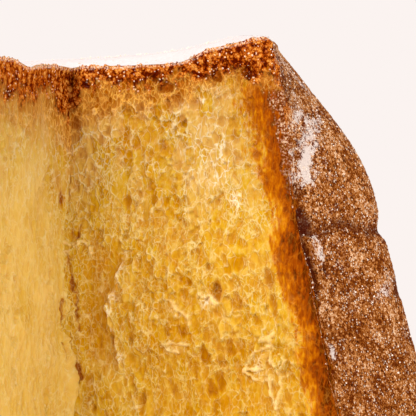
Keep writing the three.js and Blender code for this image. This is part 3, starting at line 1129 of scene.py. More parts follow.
class CutFace:
    """One face of the cut: its outline, its pores and where the oven browned it."""

    def __init__(self, name, boundary, seed, passage, ledge, placed=(), patches=(), flaps=(), cracks=()):
        self.name = name
        self.seed = seed
        self.passage = passage
        self.ledge = ledge
        self.placed = placed
        self.patches = patches
        self.flaps = flaps
        self.cracks = cracks
        line = crust_point(boundary, BLANK_RADIUS, BLANK_HEIGHT)
        out = np.hypot(line[:, 0], line[:, 1])
        top = np.nonzero(BLANK_HEIGHT > ON_TOP)[0]
        side = np.arange(np.argmax(out), top[0] + 1)
        self.side_out = out[side]
        self.side_z = line[side, 2]
        self.rim_z = self.side_z[-1]
        self.top_out = out[top][::-1]
        self.top_z = line[top, 2][::-1]
        self.open_pores()

    def edge_out(self, z):
        return np.interp(z, self.side_z, self.side_out)

    def top_level(self, out):
        return np.interp(out, self.top_out, self.top_z)

    def from_side(self, out, z):
        return self.edge_out(z) - out

    def from_top(self, out, z):
        return self.top_level(out) - z

    def noise(self, x, y, *parts):
        own = ((strength, wide, tall, self.seed + seed) for strength, wide, tall, seed in parts)
        return noise_sum(x, y, *own)

    def open_pores(self):
        rng = np.random.default_rng(self.seed)
        out, z = np.meshgrid(np.arange(0, FACE_WIDE, RASTER), np.arange(0, FACE_TALL, RASTER))
        side = np.maximum(self.from_side(out, z), 0)
        top = np.maximum(self.from_top(out, z), 0)
        patchy = self.noise(out, z, *CRUMB_PATCHES)
        by_corner = CORNER_SHARE + (1 - CORNER_SHARE) * smooth_step(out, *CORNER_FADE)
        open_crumb = PORE_LARGEST * np.maximum(PORE_MEAN + PORE_PATCHY * patchy, PORE_LEAST) * by_corner
        by_side = SIDE_LIMIT[0] + SIDE_LIMIT[1] * side
        by_top = TOP_LIMIT[0] + TOP_LIMIT[1] * top + TOP_LIMIT_RISE * np.maximum(top - TOP_LIMIT_BELOW, 0)
        by_top += TOP_LIMIT_OUT * smooth_step(out, *TOP_LIMIT_FADE)
        by_base = BASE_LIMIT[0] + BASE_LIMIT[1] * z
        largest = np.minimum(np.minimum(open_crumb, by_side), np.minimum(by_top, by_base))
        low_down = smooth_step(HEIGHT - z, *STRETCH_LOW_FADE)
        near, far = STRETCH_SIDE_FADE
        beside_crust = smooth_step(far - side, 0, far - near) * smooth_step(top, *STRETCH_TOP_FADE)
        stretch = STRETCH + STRETCH_LOW * low_down + STRETCH_SIDE * beside_crust
        lean = LEAN + LEAN_SIDE * np.clip(out / self.edge_out(z), 0, 1)
        self.pores, self.walls = pack_pores(rng, largest, stretch, lean, self.placed, COARSE_PASSES)
        small = np.minimum(0.5 * largest, FINE_LARGEST)
        self.inner_pores, self.inner_walls = pack_pores(rng, small, stretch, lean, (), FINE_PASSES)

    def hollow(self, out, z):
        deep = sample(self.pores, out, z)
        inner = sample(self.inner_pores, out, z)
        share = INNER_HOLLOW[0] + INNER_HOLLOW[1] * smooth_step(deep, *INNER_HOLLOW_FADE)
        return deep + inner * share

    def wall(self, out, z):
        outer = (WALL_MEAN + self.noise(out, z, WALL_FAINT)) * sample(self.walls, out, z)
        return np.maximum(outer, INNER_WALL * sample(self.inner_walls, out, z))

    def crack(self, out, z):
        total = np.zeros_like(out)
        wander = self.noise(z, out, *CRACK_WANDER)
        broken = CRACK_MEAN + self.noise(out, z, CRACK_BROKEN)
        for start, end, wide, depth in self.cracks:
            away = from_segment(out + wander, z, start, end) / wide
            total = np.maximum(total, depth * broken * np.exp(-(away**2)))
        return total

    def pale(self, out, z):
        total = np.zeros_like(out)
        ragged = self.noise(out, z, *PALE_RAGGED)
        for at_out, at_z, wide, tall, strength in self.patches:
            away = ((out - at_out) / wide) ** 2 + ((z - at_z) / tall) ** 2
            total = np.maximum(total, strength * smooth_step(PATCH_SOFT - away + ragged, 0, PATCH_SOFT))
        return total

    def flap(self, out, z):
        total = np.zeros_like(out)
        ragged = self.noise(out, z, *FLAP_RAGGED)
        wander_out = out + self.noise(out, z, FLAP_WANDER_OUT)
        wander_z = z + self.noise(out, z, FLAP_WANDER_UP)
        for points, wide in self.flaps:
            for start, end in zip(points, points[1:]):
                away = from_segment(wander_out, wander_z, start, end) / wide
                total = np.maximum(total, smooth_step(FLAP_EDGE + ragged - away, 0, 1))
        return total

    def browning(self, out, z):
        side = self.from_side(out, z)
        streaks = self.noise(side, z, *BROWN_STREAKS)
        wander = self.noise(z, side, *BROWN_WANDER)
        ragged = BROWN_STREAK_SHARE * streaks + wander + self.noise(z, side, BROWN_FRAY)
        reach = BROWN_REACH - BROWN_REACH_LOSS * smooth_step(self.from_top(out, z), *BROWN_REACH_FADE)
        by_side = 1 - np.clip((side + ragged * smooth_step(side, *BROWN_FROM_SIDE)) / reach, 0, 1)
        by_base = 1 - smooth_step(z + BROWN_BASE_RAGGED * ragged, *BROWN_BASE)
        return np.maximum(by_side, by_base)

    def below_top(self, out, z, thick):
        within, soft = TOP_NEAR_SIDE
        near_side = smooth_step(within - self.from_side(out, z), 0, soft)
        ragged = self.noise(out, z, *TOP_RAGGED)
        return self.from_top(out, z) + TOP_RAGGED_SHARE * ragged - thick * near_side

    # Painted shade: near the top, beside the slit of the inner corner, the crumb is painted as toasted top
    # and amber
    def slit_shade(self, out, z, wide, fade):
        return np.exp(-((out / wide) ** 2)) * (1 - smooth_step(self.from_top(out, z), *fade))

    def top_crust(self, out, z):
        strength, wide = TOP_SLIT_SHADE
        slit_shade = strength * self.slit_shade(out, z, wide, TOP_SLIT_SHADE_FADE)
        below = self.below_top(out, z, TOP_THICK) / (TOP_REACH_SHARE * self.passage)
        crust = np.clip(1 - np.clip(below, 0, 1) + slit_shade, 0, TOP_BODY)
        return crust + (1 - TOP_BODY) * (1 - smooth_step(self.from_top(out, z), *TOP_SKIN_FADE))

    def amber(self, out, z):
        strength, wide = AMBER_SLIT_SHADE
        slit_shade = strength * self.slit_shade(out, z, wide, AMBER_SLIT_SHADE_FADE)
        reach = self.passage + AMBER_CORNER * (1 - smooth_step(out, *CORNER_FADE))
        below = (self.below_top(out, z, AMBER_THICK) - AMBER_FROM) / (reach - AMBER_FROM)
        return np.clip(1 - np.clip(below, 0, 1) + slit_shade, 0, 1)

    # How deep the torn crumb lies, and the fringe beside its ledges
    def ledges(self, out, z):
        jagged = self.noise(out, z, *LEDGE_JAGGED)
        spread = self.noise(out / LEDGE_CELL + z / LEDGE_SHEAR, z, LEDGE_SPREAD) + LEDGE_RAGGED * jagged
        from_corner = smooth_step(out, *LEDGE_FROM)
        scattered = SCATTERED_DEPTH * smooth_step(spread, *SCATTERED_STEP) * from_corner
        line = np.interp(z, LEDGE_HEIGHTS, LEDGE_REACHES) + LEDGE_LINE_RAGGED * jagged
        ends = plateau(z, LEDGE_LOW_END, LEDGE_HIGH_END)
        long_one = self.ledge * smooth_step(line - out, *LONG_STEP) * from_corner * ends
        beside = plateau(line - out, *LONG_FRINGE) * ends * (self.ledge > 0)
        around = SCATTERED_FRINGE_SHARE * plateau(spread, *SCATTERED_FRINGE) * from_corner
        return np.stack([np.maximum(scattered, long_one), np.maximum(beside, around)])


def plateau(value, rise, fall):
    return smooth_step(value, *rise) * (1 - smooth_step(value, *fall))


def right_place(out, z, deep):
    slit = slit_depth(z) * np.clip(1 - out / SLIT_WIDTH, 0, 1)
    return np.stack([out, right_front(out, z) + deep + slit - fillet(out, z), z], -1)


def left_place(out, z, deep):
    return np.stack([left_front(out, z) - deep + fillet(out, z) + curtain(out, z), -out, z], -1)


def make_crumb(face, columns, inner_edge, place, into, depth_share, material):
    low = np.arange(0, FINE_FROM, CRUMB_ROW_LOW)
    high = np.linspace(FINE_FROM, face.rim_z, int((face.rim_z - FINE_FROM) / CRUMB_ROW))
    levels = np.concatenate([low, high]) / face.rim_z
    bm, column, row = unit_grid(columns, len(levels))
    level = levels[row]
    edge = face.edge_out(level * face.rim_z)
    inner = inner_edge(level * face.rim_z)
    out = inner + (edge - inner) * column / (columns - 1)
    z = level * face.top_level(np.maximum(out, 0))
    side = face.from_side(out, z)
    at_rim = smooth_step(level * face.rim_z, face.rim_z - 1, face.rim_z) * smooth_step(side, 0, RIM_SOFT)
    lumps = np.clip(face.noise(out, 0, *RIM_LUMPS), 0, 1)
    z += EDGE_LUMP * lumps * at_rim * smooth_step(out, *RIM_FROM_CORNER)
    frayed = np.clip(face.noise(z, 0, *SIDE_FRAY), 0, 1)
    at_side = smooth_step(FRAY_WITHIN - side, 0, FRAY_WITHIN) * smooth_step(z, *FRAY_FROM_BASE)
    at_side *= smooth_step(face.from_top(out, z), *FRAY_FROM_TOP)
    out += (EDGE_LAP + EDGE_FRAY * frayed) * at_side
    top = face.from_top(out, z)
    from_edge = np.minimum(side, top)
    margin = smooth_step(np.minimum(from_edge, z), *FACE_MARGIN) * smooth_step(out - inner, *INNER_MARGIN)
    crack = face.crack(out, z)
    flap = face.flap(out, z)
    pores = face.hollow(out, z) * margin * (1 - FLAP_SMOOTHS * flap)
    ledge, fringe = face.ledges(out, z) * smooth_step(from_edge, *LEDGE_MARGIN)
    wander_out = POINT_WANDER * margin * face.noise(out, z, POINT_WANDER_OUT)
    wander_z = POINT_WANDER * margin * face.noise(out, z, POINT_WANDER_UP)
    deep = depth_share * pores + CRACK_DEPTH_SHARE * crack + ledge - FLAP_LIFT * flap
    place_vertices(bm, place(out + wander_out, z + wander_z, deep))
    below_curtain = smooth_step(CURTAIN_TOP - z, 0, CORNER_CURTAIN_FADE)
    add_layers(
        bm,
        # crumb sunk behind a ledge counts as hollow here, so the finish paints it darker as shade
        hollow=np.clip((pores + crack) / 2 + SUNK_HOLLOW * ledge, 0, 1),
        crack=np.clip(crack / 2, 0, 1),
        flap=flap,
        corner=(1 - smooth_step(out, *CORNER_WIDE)) * (1 - CORNER_CURTAIN_SHARE * below_curtain),
        sunk=np.clip(ledge / LEDGE_DEPTH, 0, 1),
        wall=face.wall(out, z),
        browning=face.browning(out, z),
        top_crust=face.top_crust(out, z),
        pale=np.maximum(face.pale(out, z), FRINGE_PALE * fringe * (1 - flap)),
        amber=face.amber(out, z),
    )
    for vertex in extrude_rim(bm):
        share = vertex.co.z / (HEIGHT * MM)
        outer = max(vertex.co.x, -vertex.co.y) > OUTER_FROM
        inset = Vector((-abs(into[1]), abs(into[0]), 0)) * CRUMB_BACK_INSET * outer
        inset.z = CRUMB_BACK_INSET * (1 - 2 * share)
        vertex.co += (Vector(into) * CRUMB_BACK + inset) * MM
    bmesh.ops.edgeloop_fill(bm, edges=open_rim(bm))
    bmesh.ops.recalc_face_normals(bm, faces=bm.faces[:])
    return bmesh_piece(bm, face.name, material)


# A layer of icing sugar in the dish of the top: where it runs out, it sinks into the crust
def make_sugar_layer(material):
    bm, column, row = unit_grid(SUGAR_COLUMNS, SUGAR_ROWS)
    rim = float(crest_radius(TOP_EDGE)) - TOP_EDGE + SUGAR_OVERHANG
    radius = rim * (SUGAR_INNER + (1 - SUGAR_INNER) * row / (SUGAR_ROWS - 1))
    flat = np.full_like(radius, HEIGHT)
    start, end = cut_angles(radius, flat)
    setback = SUGAR_SETBACK / radius
    angle = start + setback + (end - start - 2 * setback) * column / (SUGAR_COLUMNS - 1)
    places = crust_point(angle, radius, flat)
    lumps = space_sum(places, *SUGAR_LUMPS)
    before, past = SUGAR_RIM
    fade = smooth_step(radius + SUGAR_EDGE_RAGGED * lumps, RIM_CREST - before, RIM_CREST + past)
    bank = np.exp(-(((angle - SUGAR_BANK_AT) / SUGAR_BANK_WIDE) ** 2))
    bank = bank * smooth_step(radius, *SUGAR_BANK_FROM)
    places[:, 2] += (SUGAR_THICK + SUGAR_LUMP * lumps) * (1 - fade) - SUGAR_BELOW + SUGAR_BANK * bank
    place_vertices(bm, open_slit(places))
    made = bmesh.ops.extrude_face_region(bm, geom=bm.faces[:], use_keep_orig=True)
    for item in made["geom"]:
        if isinstance(item, bmesh.types.BMVert):
            item.co.z -= SUGAR_SINK * MM
    bmesh.ops.recalc_face_normals(bm, faces=bm.faces[:])
    return bmesh_piece(bm, "sugar_layer", material, False)


# Loose grains of icing sugar on the crust, each a small squat octahedron
def make_sugar_grains(crust, material):
    rng = np.random.default_rng(GRAIN_DRAW_SEED)
    polygons = crust.data.polygons
    centres = np.empty(len(polygons) * 3)
    polygons.foreach_get("center", centres)
    centres = centres.reshape(-1, 3) / MM
    areas = np.empty(len(polygons))
    polygons.foreach_get("area", areas)
    x, y, z = centres.T
    angle, radius = polar(centres)
    beside_cut = (x > -PAST_AXIS) & (y < BEHIND_CUT) & (y > -BEFORE_CUT)
    beside_cut |= (y < PAST_AXIS) & (x > -BEHIND_CUT) & (x < BEFORE_CUT)
    below = np.clip(HEIGHT - z, TOP_EDGE, HEIGHT - BASE_EDGE)
    turned_in = beside_cut & (radius < TURNED_IN * star_radius(angle, below))
    shown = (radius > GRAIN_FROM_RADIUS) & ~turned_in & (z > GRAIN_FROM_HEIGHT)
    weight = np.minimum(areas, GRAIN_LARGEST_AREA) * (GRAIN_LEAST + sugar_cover(centres) ** 2) * shown
    chosen = rng.choice(len(centres), GRAIN_COUNT, p=weight / weight.sum())
    spots = centres[chosen] + rng.normal(0, GRAIN_SCATTER, (GRAIN_COUNT, 3))
    turns = rng.normal(size=(GRAIN_COUNT, 3, 3))
    turns = np.linalg.qr(turns)[0]
    flip = np.sign(np.linalg.det(turns))
    turns[:, :, 2] *= flip[:, None]
    sizes = GRAIN_SIZES[0] + GRAIN_SIZES[1] * rng.random(GRAIN_COUNT) ** 3
    corners = np.einsum("kij,nj->kni", turns, GRAIN_POINTS) * sizes[:, None, None] + spots[:, None, :]
    faces = GRAIN_FACES[None] + np.arange(GRAIN_COUNT)[:, None, None] * len(GRAIN_POINTS)
    mesh = bpy.data.meshes.new("sugar_grains")
    mesh.from_pydata((corners.reshape(-1, 3) * MM).tolist(), [], faces.reshape(-1, 3).tolist())
    return add_piece(mesh, material, False)


# Shader arithmetic: a socket that takes part in Python expressions, and a finish that makes the other nodes
class Signal:
    """A shader socket: each operation on it adds a Math node."""

    def __init__(self, finish, socket):
        self.finish = finish
        self.socket = socket

    def math(self, operation, *terms):
        return self.finish.node("ShaderNodeMath", {"operation": operation}, dict(enumerate(terms)))

    def __add__(self, other):
        return self.math("ADD", self, other)

    def __sub__(self, other):
        return self.math("SUBTRACT", self, other)

    def __rsub__(self, other):
        return self.math("SUBTRACT", other, self)

    def __mul__(self, other):
        return self.math("MULTIPLY", self, other)

    def __pow__(self, other):
        return self.math("POWER", self, other)

    __radd__ = __add__
    __rmul__ = __mul__

    @property
    def swing(self):
        """How far a noise is above or below its middle."""
        return self - 0.5


def display(red, green, blue):
    """A colour as a screen shows it, from 0 to 255, as the linear colour that a shader takes."""
    shares = (red / 255, green / 255, blue / 255)
    linear = [share / 12.92 if share < 0.04045 else ((share + 0.055) / 1.055) ** 2.4 for share in shares]
    return (*linear, 1.0)


class Finish:
    """A material on one Principled shader, whose nodes are made by one method."""

    def __init__(self, name, **constants):
        self.material = bpy.data.materials.new(name)
        self.material.use_nodes = True
        self.tree = self.material.node_tree
        self.shader = self.tree.nodes["Principled BSDF"]
        for socket, value in constants.items():
            self.shader.inputs[socket.replace("_", " ")].default_value = value
        place = self.node("ShaderNodeTexCoord", output="Object")
        scale = {"operation": "SCALE"}
        self.place = self.node("ShaderNodeVectorMath", scale, {0: place, "Scale": 1 / MM})

    def node(self, kind, settings=None, sockets=None, output=0):
        made = self.tree.nodes.new(kind)
        for setting, value in (settings or {}).items():
            if setting == "stops":
                self.set_stops(made.color_ramp, value)
            else:
                setattr(made, setting, value)
        for socket, value in (sockets or {}).items():
            self.feed(made.inputs[socket], value)
        return Signal(self, made.outputs[output])

    def set_stops(self, ramp, stops):
        while len(ramp.elements) < len(stops):
            ramp.elements.new(1.0)
        for element, (position, *colour) in zip(ramp.elements, stops):
            element.position = position
            element.color = display(*colour)

    def feed(self, socket, value):
        if isinstance(value, Signal):
            self.tree.links.new(value.socket, socket)
        else:
            socket.default_value = value

    def attribute(self, name):
        return self.node("ShaderNodeAttribute", {"attribute_name": name}, output="Fac")

    def stretched(self, shares):
        multiply = {"operation": "MULTIPLY"}
        return self.node("ShaderNodeVectorMath", multiply, {0: self.place, 1: shares})

    def noise(self, cell, detail=2.0, place=None):
        sockets = {"Vector": place or self.place, "Scale": 1 / cell, "Detail": detail}
        return self.node("ShaderNodeTexNoise", {}, sockets)

    def warped(self, place, cell, reach):
        sockets = {"Vector": self.place, "Scale": 1 / cell, "Detail": 1.0}
        drift = self.node("ShaderNodeTexNoise", {}, sockets, output="Color")
        add = {"operation": "MULTIPLY_ADD"}
        return self.node("ShaderNodeVectorMath", add, {0: drift, 1: (reach, reach, reach), 2: place})

    def cells(self, cell, feature="F1", place=None, output="Distance"):
        sockets = {"Vector": place or self.place, "Scale": 1 / cell}
        return self.node("ShaderNodeTexVoronoi", {"feature": feature}, sockets, output)

    def pick(self, cell, place=None, channel="Red"):
        colour = self.cells(cell, "F1", place, "Color")
        return self.node("ShaderNodeSeparateColor", {}, {0: colour}, channel)

    def height(self):
        return self.node("ShaderNodeSeparateXYZ", {}, {0: self.place}, "Z")

    def band(self, value, low, high):
        sockets = {"Value": value, "From Min": low, "From Max": high}
        return self.node("ShaderNodeMapRange", {"interpolation_type": "SMOOTHSTEP"}, sockets)

    def ramp(self, value, stops):
        return self.node("ShaderNodeValToRGB", {"stops": stops}, {0: value})

    # Inputs 6 and 7 and output 2 are a Mix node's colours
    def mix(self, share, first, second, blend="MIX"):
        settings = {"data_type": "RGBA", "blend_type": blend, "clamp_factor": True}
        first, second = (end if isinstance(end, Signal) else display(*end) for end in (first, second))
        return self.node("ShaderNodeMix", settings, {0: share, 6: first, 7: second}, output=2)

    def bump(self, height, distance, strength=1.0):
        sockets = {"Height": height, "Distance": distance * MM, "Strength": strength}
        return self.node("ShaderNodeBump", {}, sockets)

    def done(self, **links):
        for socket, value in links.items():
            self.feed(self.shader.inputs[socket.replace("_", " ")], value)
        return self.material


def crumb_finish(name, sharpness, painted_light, tall):
    crumb = Finish(
        name,
        Subsurface_Weight=0.25,
        Subsurface_Radius=(1.0, 0.6, 0.16),
        Subsurface_Scale=0.6 * MM,
        Specular_IOR_Level=0.0,
        Coat_Roughness=0.22,
    )
    hollow, wall, browning, top_crust, corner, torn, sunk, crack, flap, amber = map(
        crumb.attribute,
        ("hollow", "wall", "browning", "top_crust", "corner", "pale", "sunk", "crack", "flap", "amber"),
    )
    sharp = sharpness + (1 - sharpness) * corner
    hollow = hollow * sharp**2
    height = crumb.height()
    high_up = crumb.band(height, *HIGH_CRUMB)
    in_rind = crumb.band(browning, *RIND_BAND)
    near_crust = crumb.band(browning, *NEAR_CRUST_BAND)
    upright = crumb.stretched((1.0, 1.0, tall))
    cloudy = crumb.noise(0.9, 3.0, crumb.stretched((1.0, 1.0, 0.66 * tall)))
    broad = crumb.noise(3.5, place=upright)
    fibre = crumb.noise(0.45, place=crumb.stretched((1.0, 1.0, 0.14)))

    # The walls of the pores: a fine, a coarse and a wide net
    lace = crumb.warped(upright, 1.4, 0.9)
    open_net = crumb.warped(upright, 2.0, 1.5)
    fine_edge = crumb.cells(FINE_NET, "DISTANCE_TO_EDGE", lace)
    coarse_edge = crumb.cells(COARSE_NET, "DISTANCE_TO_EDGE", open_net)
    wide_edge = crumb.cells(WIDE_NET, "DISTANCE_TO_EDGE", open_net)
    fine_pick = crumb.pick(FINE_NET, lace)
    in_film = crumb.band(crumb.pick(WIDE_NET, open_net), *FILM_BAND)
    veil = crumb.band(crumb.noise(4.0, place=upright), *VEIL_BAND)
    patch = crumb.band(crumb.noise(1.7, place=upright), *PATCH_BAND)
    thin_line = 1 - crumb.band(fine_edge - 0.08 * torn, *FINE_LINE_BAND)
    fine_line = thin_line * (0.12 + 0.88 * veil) * (1 - 0.6 * in_film * (0.4 + 0.6 * high_up))
    wide_line = (1 - crumb.band(wide_edge, *WIDE_LINE_BAND)) * (0.3 + 0.7 * in_film)
    coarse_line = (1 - crumb.band(coarse_edge, *COARSE_LINE_BAND)) * (0.2 + 0.8 * patch)
    web = (0.6 * fine_line + 0.75 * coarse_line + 0.45 * wide_line) * (1 - 0.5 * hollow) + 0.45 * wall
    web = crumb.band(web, *WEB_BAND) * (1 - 0.7 * in_rind) * (1 - 0.3 * sunk)
    opened = crumb.band(fine_edge, *OPENED_BAND) * fine_pick * (0.35 + 0.65 * veil)

    # The golden crumb: deeper in its hollows, partly its own gold and partly painted shade; paler where it
    # is thin or torn, and on the left face with painted light; painted shade, dark brown, in its cracks and
    # deepest hollows
    drift = 0.55 * cloudy.swing + 0.6 * broad.swing
    golden = crumb.ramp(0.20 + sharp * (0.45 * hollow + drift + 0.22 * opened), GOLDEN_RAMP)
    # Crumb that lies lower behind a ledge is painted darker gold, and its pale threads are weakened:
    # painted shade
    golden = crumb.mix(0.32 * sunk * sharp, golden, SUNK_PAINTED_SHADE)
    film = in_film * (0.08 + 0.92 * high_up) * sharp
    golden = crumb.mix(0.42 * film, golden, FILM_TAN)
    # Painted light: the left face's crumb is painted paler in broad patches, but not beside the inner
    # corner, which stays darker as shade
    painted_light_share = painted_light * (1 - corner) * (1 + 2.5 * crumb.noise(12.0).swing)
    pale = painted_light_share + 0.15 * crumb.band(crumb.noise(9.0), *CREAM_BAND) + 0.4 * torn
    golden = crumb.mix(pale * (1 - 0.7 * hollow), golden, CREAM)
    # Painted shade: the cracks and the deepest hollows are painted dark brown
    painted_shade = 0.35 * crumb.band(hollow, *DEEP_BAND) + 0.9 * crumb.band(crack, *CRACK_BAND)
    golden = crumb.mix(crumb.band(painted_shade, 0.0, 1.0), golden, CRACK_PAINTED_SHADE)

    # The rind beside the crust, then the threads and flaps over both
    streaky = 0.4 * fibre.swing + 1.2 * cloudy.swing
    # The rind is painted a little browner in hollows and open cells, painted shade
    bake = browning + near_crust * (streaky + 0.12 * hollow + 0.08 * opened)
    colour = crumb.mix(crumb.band(bake, *BAKE_BAND), golden, crumb.ramp(bake, RIND_RAMP))
    thread = crumb.mix(high_up, THREAD_LOW, THREAD_HIGH)
    thread = crumb.mix(torn, thread, THREAD_TORN)
    thread = crumb.mix(crumb.band(browning, *THREAD_BAND), thread, THREAD_BAKED)
    colour = crumb.mix(web * sharp * (0.75 + 0.6 * torn), colour, thread)
    # Painted shade: the upper crumb, outside the rind, is painted slightly darker where more light falls on
    # it
    colour = crumb.mix(high_up * (1 - in_rind), colour, HIGH_PAINTED_SHADE, "MULTIPLY")
    colour = crumb.mix(flap * (0.6 + 0.8 * cloudy.swing + 0.3 * web), colour, FLAP_PALE)
    flecks = crumb.ramp(crumb.noise(0.5), FLECK_RAMP)
    dusty = crumb.band(browning + 0.5 * cloudy.swing, *DUSTY_BAND) * crumb.band(height, *DUSTY_CRUMB)
    colour = crumb.mix(0.85 * dusty, colour, flecks)

    # The toasted top, with sugar on it and painted glints, over a passage of amber; beside the slit both
    # reach further down as painted shade
    lumps = crumb.warped(crumb.place, 1.0, 0.5)
    grain = crumb.cells(TOASTED_GRAIN, "F1", lumps)
    tone = crumb.pick(TOASTED_GRAIN, lumps)
    speckle = 0.8 * crumb.noise(0.35) + 2.1 * crumb.noise(1.5, 3.0) - 1.45
    edge_light = 0.18 * crumb.band(top_crust, *TOP_SKIN_BAND)
    edge_light -= 0.10 * crumb.band(top_crust, *UNDER_SKIN_BAND)
    # Painted shade: each toasted grain is painted darker towards its edge and in hollows
    grainy = sharp * (speckle + 0.16 * tone.swing - 0.62 * grain)
    toasted = crumb.ramp(0.85 + edge_light + grainy - 0.12 * hollow - 0.25 * (1 - sharp), TOASTED_RAMP)
    # Painted highlight: a few small toasted grains, away from the slit, are painted as white glints
    painted_glint = crumb.band(crumb.pick(TOASTED_GRAIN, lumps, "Green"), *PAINTED_GLINT_BAND)
    painted_glint *= crumb.band(grain, *PAINTED_GLINT_SIZE_BAND) * crumb.band(corner, *OUT_OF_SLIT_BAND) * sharp
    toasted = crumb.mix(0.8 * painted_glint, toasted, PAINTED_GLINT_WHITE)
    dust = crumb.band(top_crust, *DUST_BAND) * crumb.band(crumb.noise(0.4), *DUST_SPECK_BAND)
    toasted = crumb.mix(0.75 * dust, toasted, DUST_WHITE)
    # The singed band reaches further into hollows, painted shade
    singed = top_crust + 0.8 * cloudy.swing + 0.6 * broad.swing + 0.10 * hollow
    singe = crumb.band(singed, *SINGE_BAND)
    netted = sharp**2 * (0.55 * thin_line + 0.5 * web + 0.4 * fine_pick.swing)
    baked = crumb.mix(0.20 + netted + 1.6 * cloudy.swing, BAKED_DARK, BAKED_LIGHT)
    # Painted shade: hollows in the amber are painted dark brown, and the amber reaches further into them
    baked = crumb.mix(0.9 * hollow, baked, BAKED_HOLLOW_SHADE)
    in_amber = crumb.band(amber + 0.3 * hollow + 0.7 * cloudy.swing, *AMBER_BAND)
    in_amber *= 0.6 + 0.4 * sharp
    colour = crumb.mix(singe, crumb.mix(in_amber, colour, baked), toasted)
    relief = 0.8 * web - 0.6 * opened + 0.6 * cloudy - 3.2 * grain * singe + 0.4 * fibre * near_crust
    glint = 0.1 * singe * crumb.band(tone, *GLINT_BAND)
    return crumb.done(Base_Color=colour, Coat_Weight=glint, Normal=crumb.bump(relief, 0.18 * sharpness))


def crust_finish():
    crust = Finish("browned_crust", Specular_IOR_Level=0.02)
    sugar, scorch, toast = map(crust.attribute, ("sugar", "scorch", "toast"))
    grain = crust.cells(CRUST_GRAIN)
    tone = crust.pick(CRUST_GRAIN)
    crumbs = crust.noise(0.4)
    uneven = 0.3 * tone.swing + 1.1 * crumbs.swing + 0.5 * crust.noise(1.4, 3.0).swing
    uneven += 0.9 * crust.noise(0.22).swing + 0.75 * crust.noise(6.0, 3.0).swing
    # Each crust grain is painted darker towards its edge, painted shade between the grains
    shade = 0.545 + 0.05 * crust.band(crust.height(), *HIGH_CRUST) - 0.3 * grain + uneven
    brown = crust.mix(0.85 * toast, crust.ramp(shade, CRUST_RAMP), crust.ramp(shade, CRUST_RIND_RAMP))
    # Painted shade: pits in the crust are painted dark brown
    pits = crust.band(crust.cells(CRUST_PIT), *PIT_BAND)
    brown = crust.mix(0.85 * pits, brown, PIT_PAINTED_SHADE)
    clustered = crust.pick(SUGAR_DOT, channel="Green") + 0.7 * sugar + 1.5 * crust.noise(3.5).swing
    dots = crust.band(crust.cells(SUGAR_DOT), *DOT_SIZE_BAND) * crust.band(clustered, *DOT_BAND)
    dots *= (1 - 0.6 * toast) * (1 - 0.9 * scorch)
    powder = crust.band(sugar + 1.0 * crumbs.swing + 0.8 * crust.noise(1.6).swing, *POWDER_BAND)
    # Painted shade: almost black where the crust has come away from the crumb, in the fold and in dark
    # pockets
    brown = crust.mix(0.95 * scorch, brown, crust.mix(crumbs, GAP_SHADE_DARK, GAP_SHADE_SOFT))
    brown = crust.mix(0.85 * dots, brown, DOT_WHITE)
    colour = crust.mix(0.94 * powder, brown, POWDER_WHITE)
    relief = (1.3 * crumbs + 0.8 * dots - 1.2 * pits - 1.2 * grain) * (1 - 0.85 * powder)
    rough = 0.7 + 0.2 * powder
    return crust.done(Base_Color=colour, Roughness=rough, Normal=crust.bump(relief, 0.25))


def sugar_finish():
    sugar = Finish(
        "icing_sugar",
        Roughness=0.85,
        Subsurface_Weight=0.2,
        Subsurface_Radius=(1.0, 0.95, 0.9),
        Subsurface_Scale=0.5 * MM,
        Specular_IOR_Level=0.1,
    )
    clumps = sugar.noise(0.8, 3.0)
    colour = sugar.mix(clumps, *SUGAR_SHADES)
    specks = sugar.band(sugar.noise(1.1, 3.0), *SPECK_BAND)
    colour = sugar.mix(0.7 * specks, colour, SUGAR_SPECK)
    return sugar.done(Base_Color=colour, Normal=sugar.bump(clumps, 0.15))


def grain_finish():
    grains = Finish("sugar_grains", Roughness=0.8, Specular_IOR_Level=0.05)
    return grains.done(Base_Color=grains.mix(grains.noise(0.7), *GRAIN_SHADES))


def floor_finish():
    floor = Finish("pale_floor", Roughness=0.7)
    return floor.done(Base_Color=floor.mix(floor.noise(40.0), *FLOOR_SHADES))


def make_floor():
    bm = bmesh.new()
    bmesh.ops.create_circle(bm, cap_ends=True, segments=FLOOR_SEGMENTS, radius=FLOOR_RADIUS)
    mesh = bpy.data.meshes.new("floor")
    bm.to_mesh(mesh)
    bm.free()
    mesh.materials.append(floor_finish())
    floor = bpy.data.objects.new("floor", mesh)
    bpy.context.scene.collection.objects.link(floor)


def add_light(name, place, size, power, colour):
    data = bpy.data.lights.new(name, "AREA")
    data.size = size
    data.energy = power
    data.color = colour
    lamp = bpy.data.objects.new(name, data)
    lamp.location = place
    lamp.rotation_euler = (Vector(LIGHT_TARGET) - Vector(place)).to_track_quat("-Z", "Y").to_euler()
    bpy.context.scene.collection.objects.link(lamp)


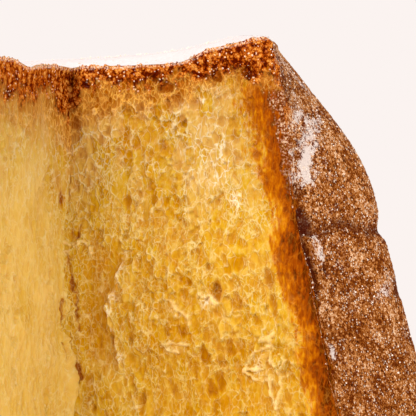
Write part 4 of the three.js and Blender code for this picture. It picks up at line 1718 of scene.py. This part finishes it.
def add_studio():
    world = bpy.data.worlds.new("studio")
    world.use_nodes = True
    backdrop = world.node_tree.nodes["Background"].inputs
    backdrop["Color"].default_value = display(*BACKDROP)
    backdrop["Strength"].default_value = 1.0
    bpy.context.scene.world = world
    for light in LIGHTS:
        add_light(*light)


def add_camera():
    back = Vector((math.sin(AZIMUTH), -math.cos(AZIMUTH), 0))
    right = Vector((math.cos(AZIMUTH), math.sin(AZIMUTH), 0))
    aside = (PHOTO_WIDE / 2 - AXIS_PIXEL) / PIXELS_PER_METRE
    data = bpy.data.cameras.new("camera")
    data.lens = data.sensor_width * DISTANCE * PIXELS_PER_METRE / PHOTO_WIDE
    camera = bpy.data.objects.new("camera", data)
    camera.location = back * DISTANCE + right * aside + Vector((0, 0, EYE_HEIGHT))
    camera.rotation_euler = (math.pi / 2, 0, AZIMUTH)
    bpy.context.scene.collection.objects.link(camera)
    bpy.context.scene.camera = camera
    bpy.context.scene.view_settings.view_transform = "Standard"


def right_inner_edge(z):
    return left_front(-slit_depth(z), z) - RIGHT_LAP


def left_inner_edge(z):
    return -slit_depth(z) - LEFT_LAP


def main():
    sugar = sugar_finish()
    start, end = cut_angles(BLANK_RADIUS, BLANK_HEIGHT)
    right_marks = (RIGHT_PORES, RIGHT_PATCHES, RIGHT_FLAPS, RIGHT_CRACKS)
    right = CutFace("crumb_right", start, RIGHT_SEED, RIGHT_PASSAGE, LEDGE_DEPTH, *right_marks)
    left = CutFace("crumb_left", end, LEFT_SEED, LEFT_PASSAGE, 0.0, cracks=LEFT_CRACKS)
    crust = make_crust(crust_finish())
    right_crumb = crumb_finish("golden_crumb", sharpness=1.0, painted_light=0.0, tall=0.55)
    # The left face is blurred and painted paler, painted light
    left_crumb = crumb_finish("soft_golden_crumb_painted_light", sharpness=0.7, painted_light=0.4, tall=0.5)
    make_crumb(right, RIGHT_COLUMNS, right_inner_edge, right_place, (0, 1, 0), RIGHT_DEPTH, right_crumb)
    make_crumb(left, LEFT_COLUMNS, left_inner_edge, left_place, (-1, 0, 0), LEFT_DEPTH, left_crumb)
    make_sugar_layer(sugar)
    make_sugar_grains(crust, grain_finish())
    make_floor()
    add_studio()
    add_camera()


main()
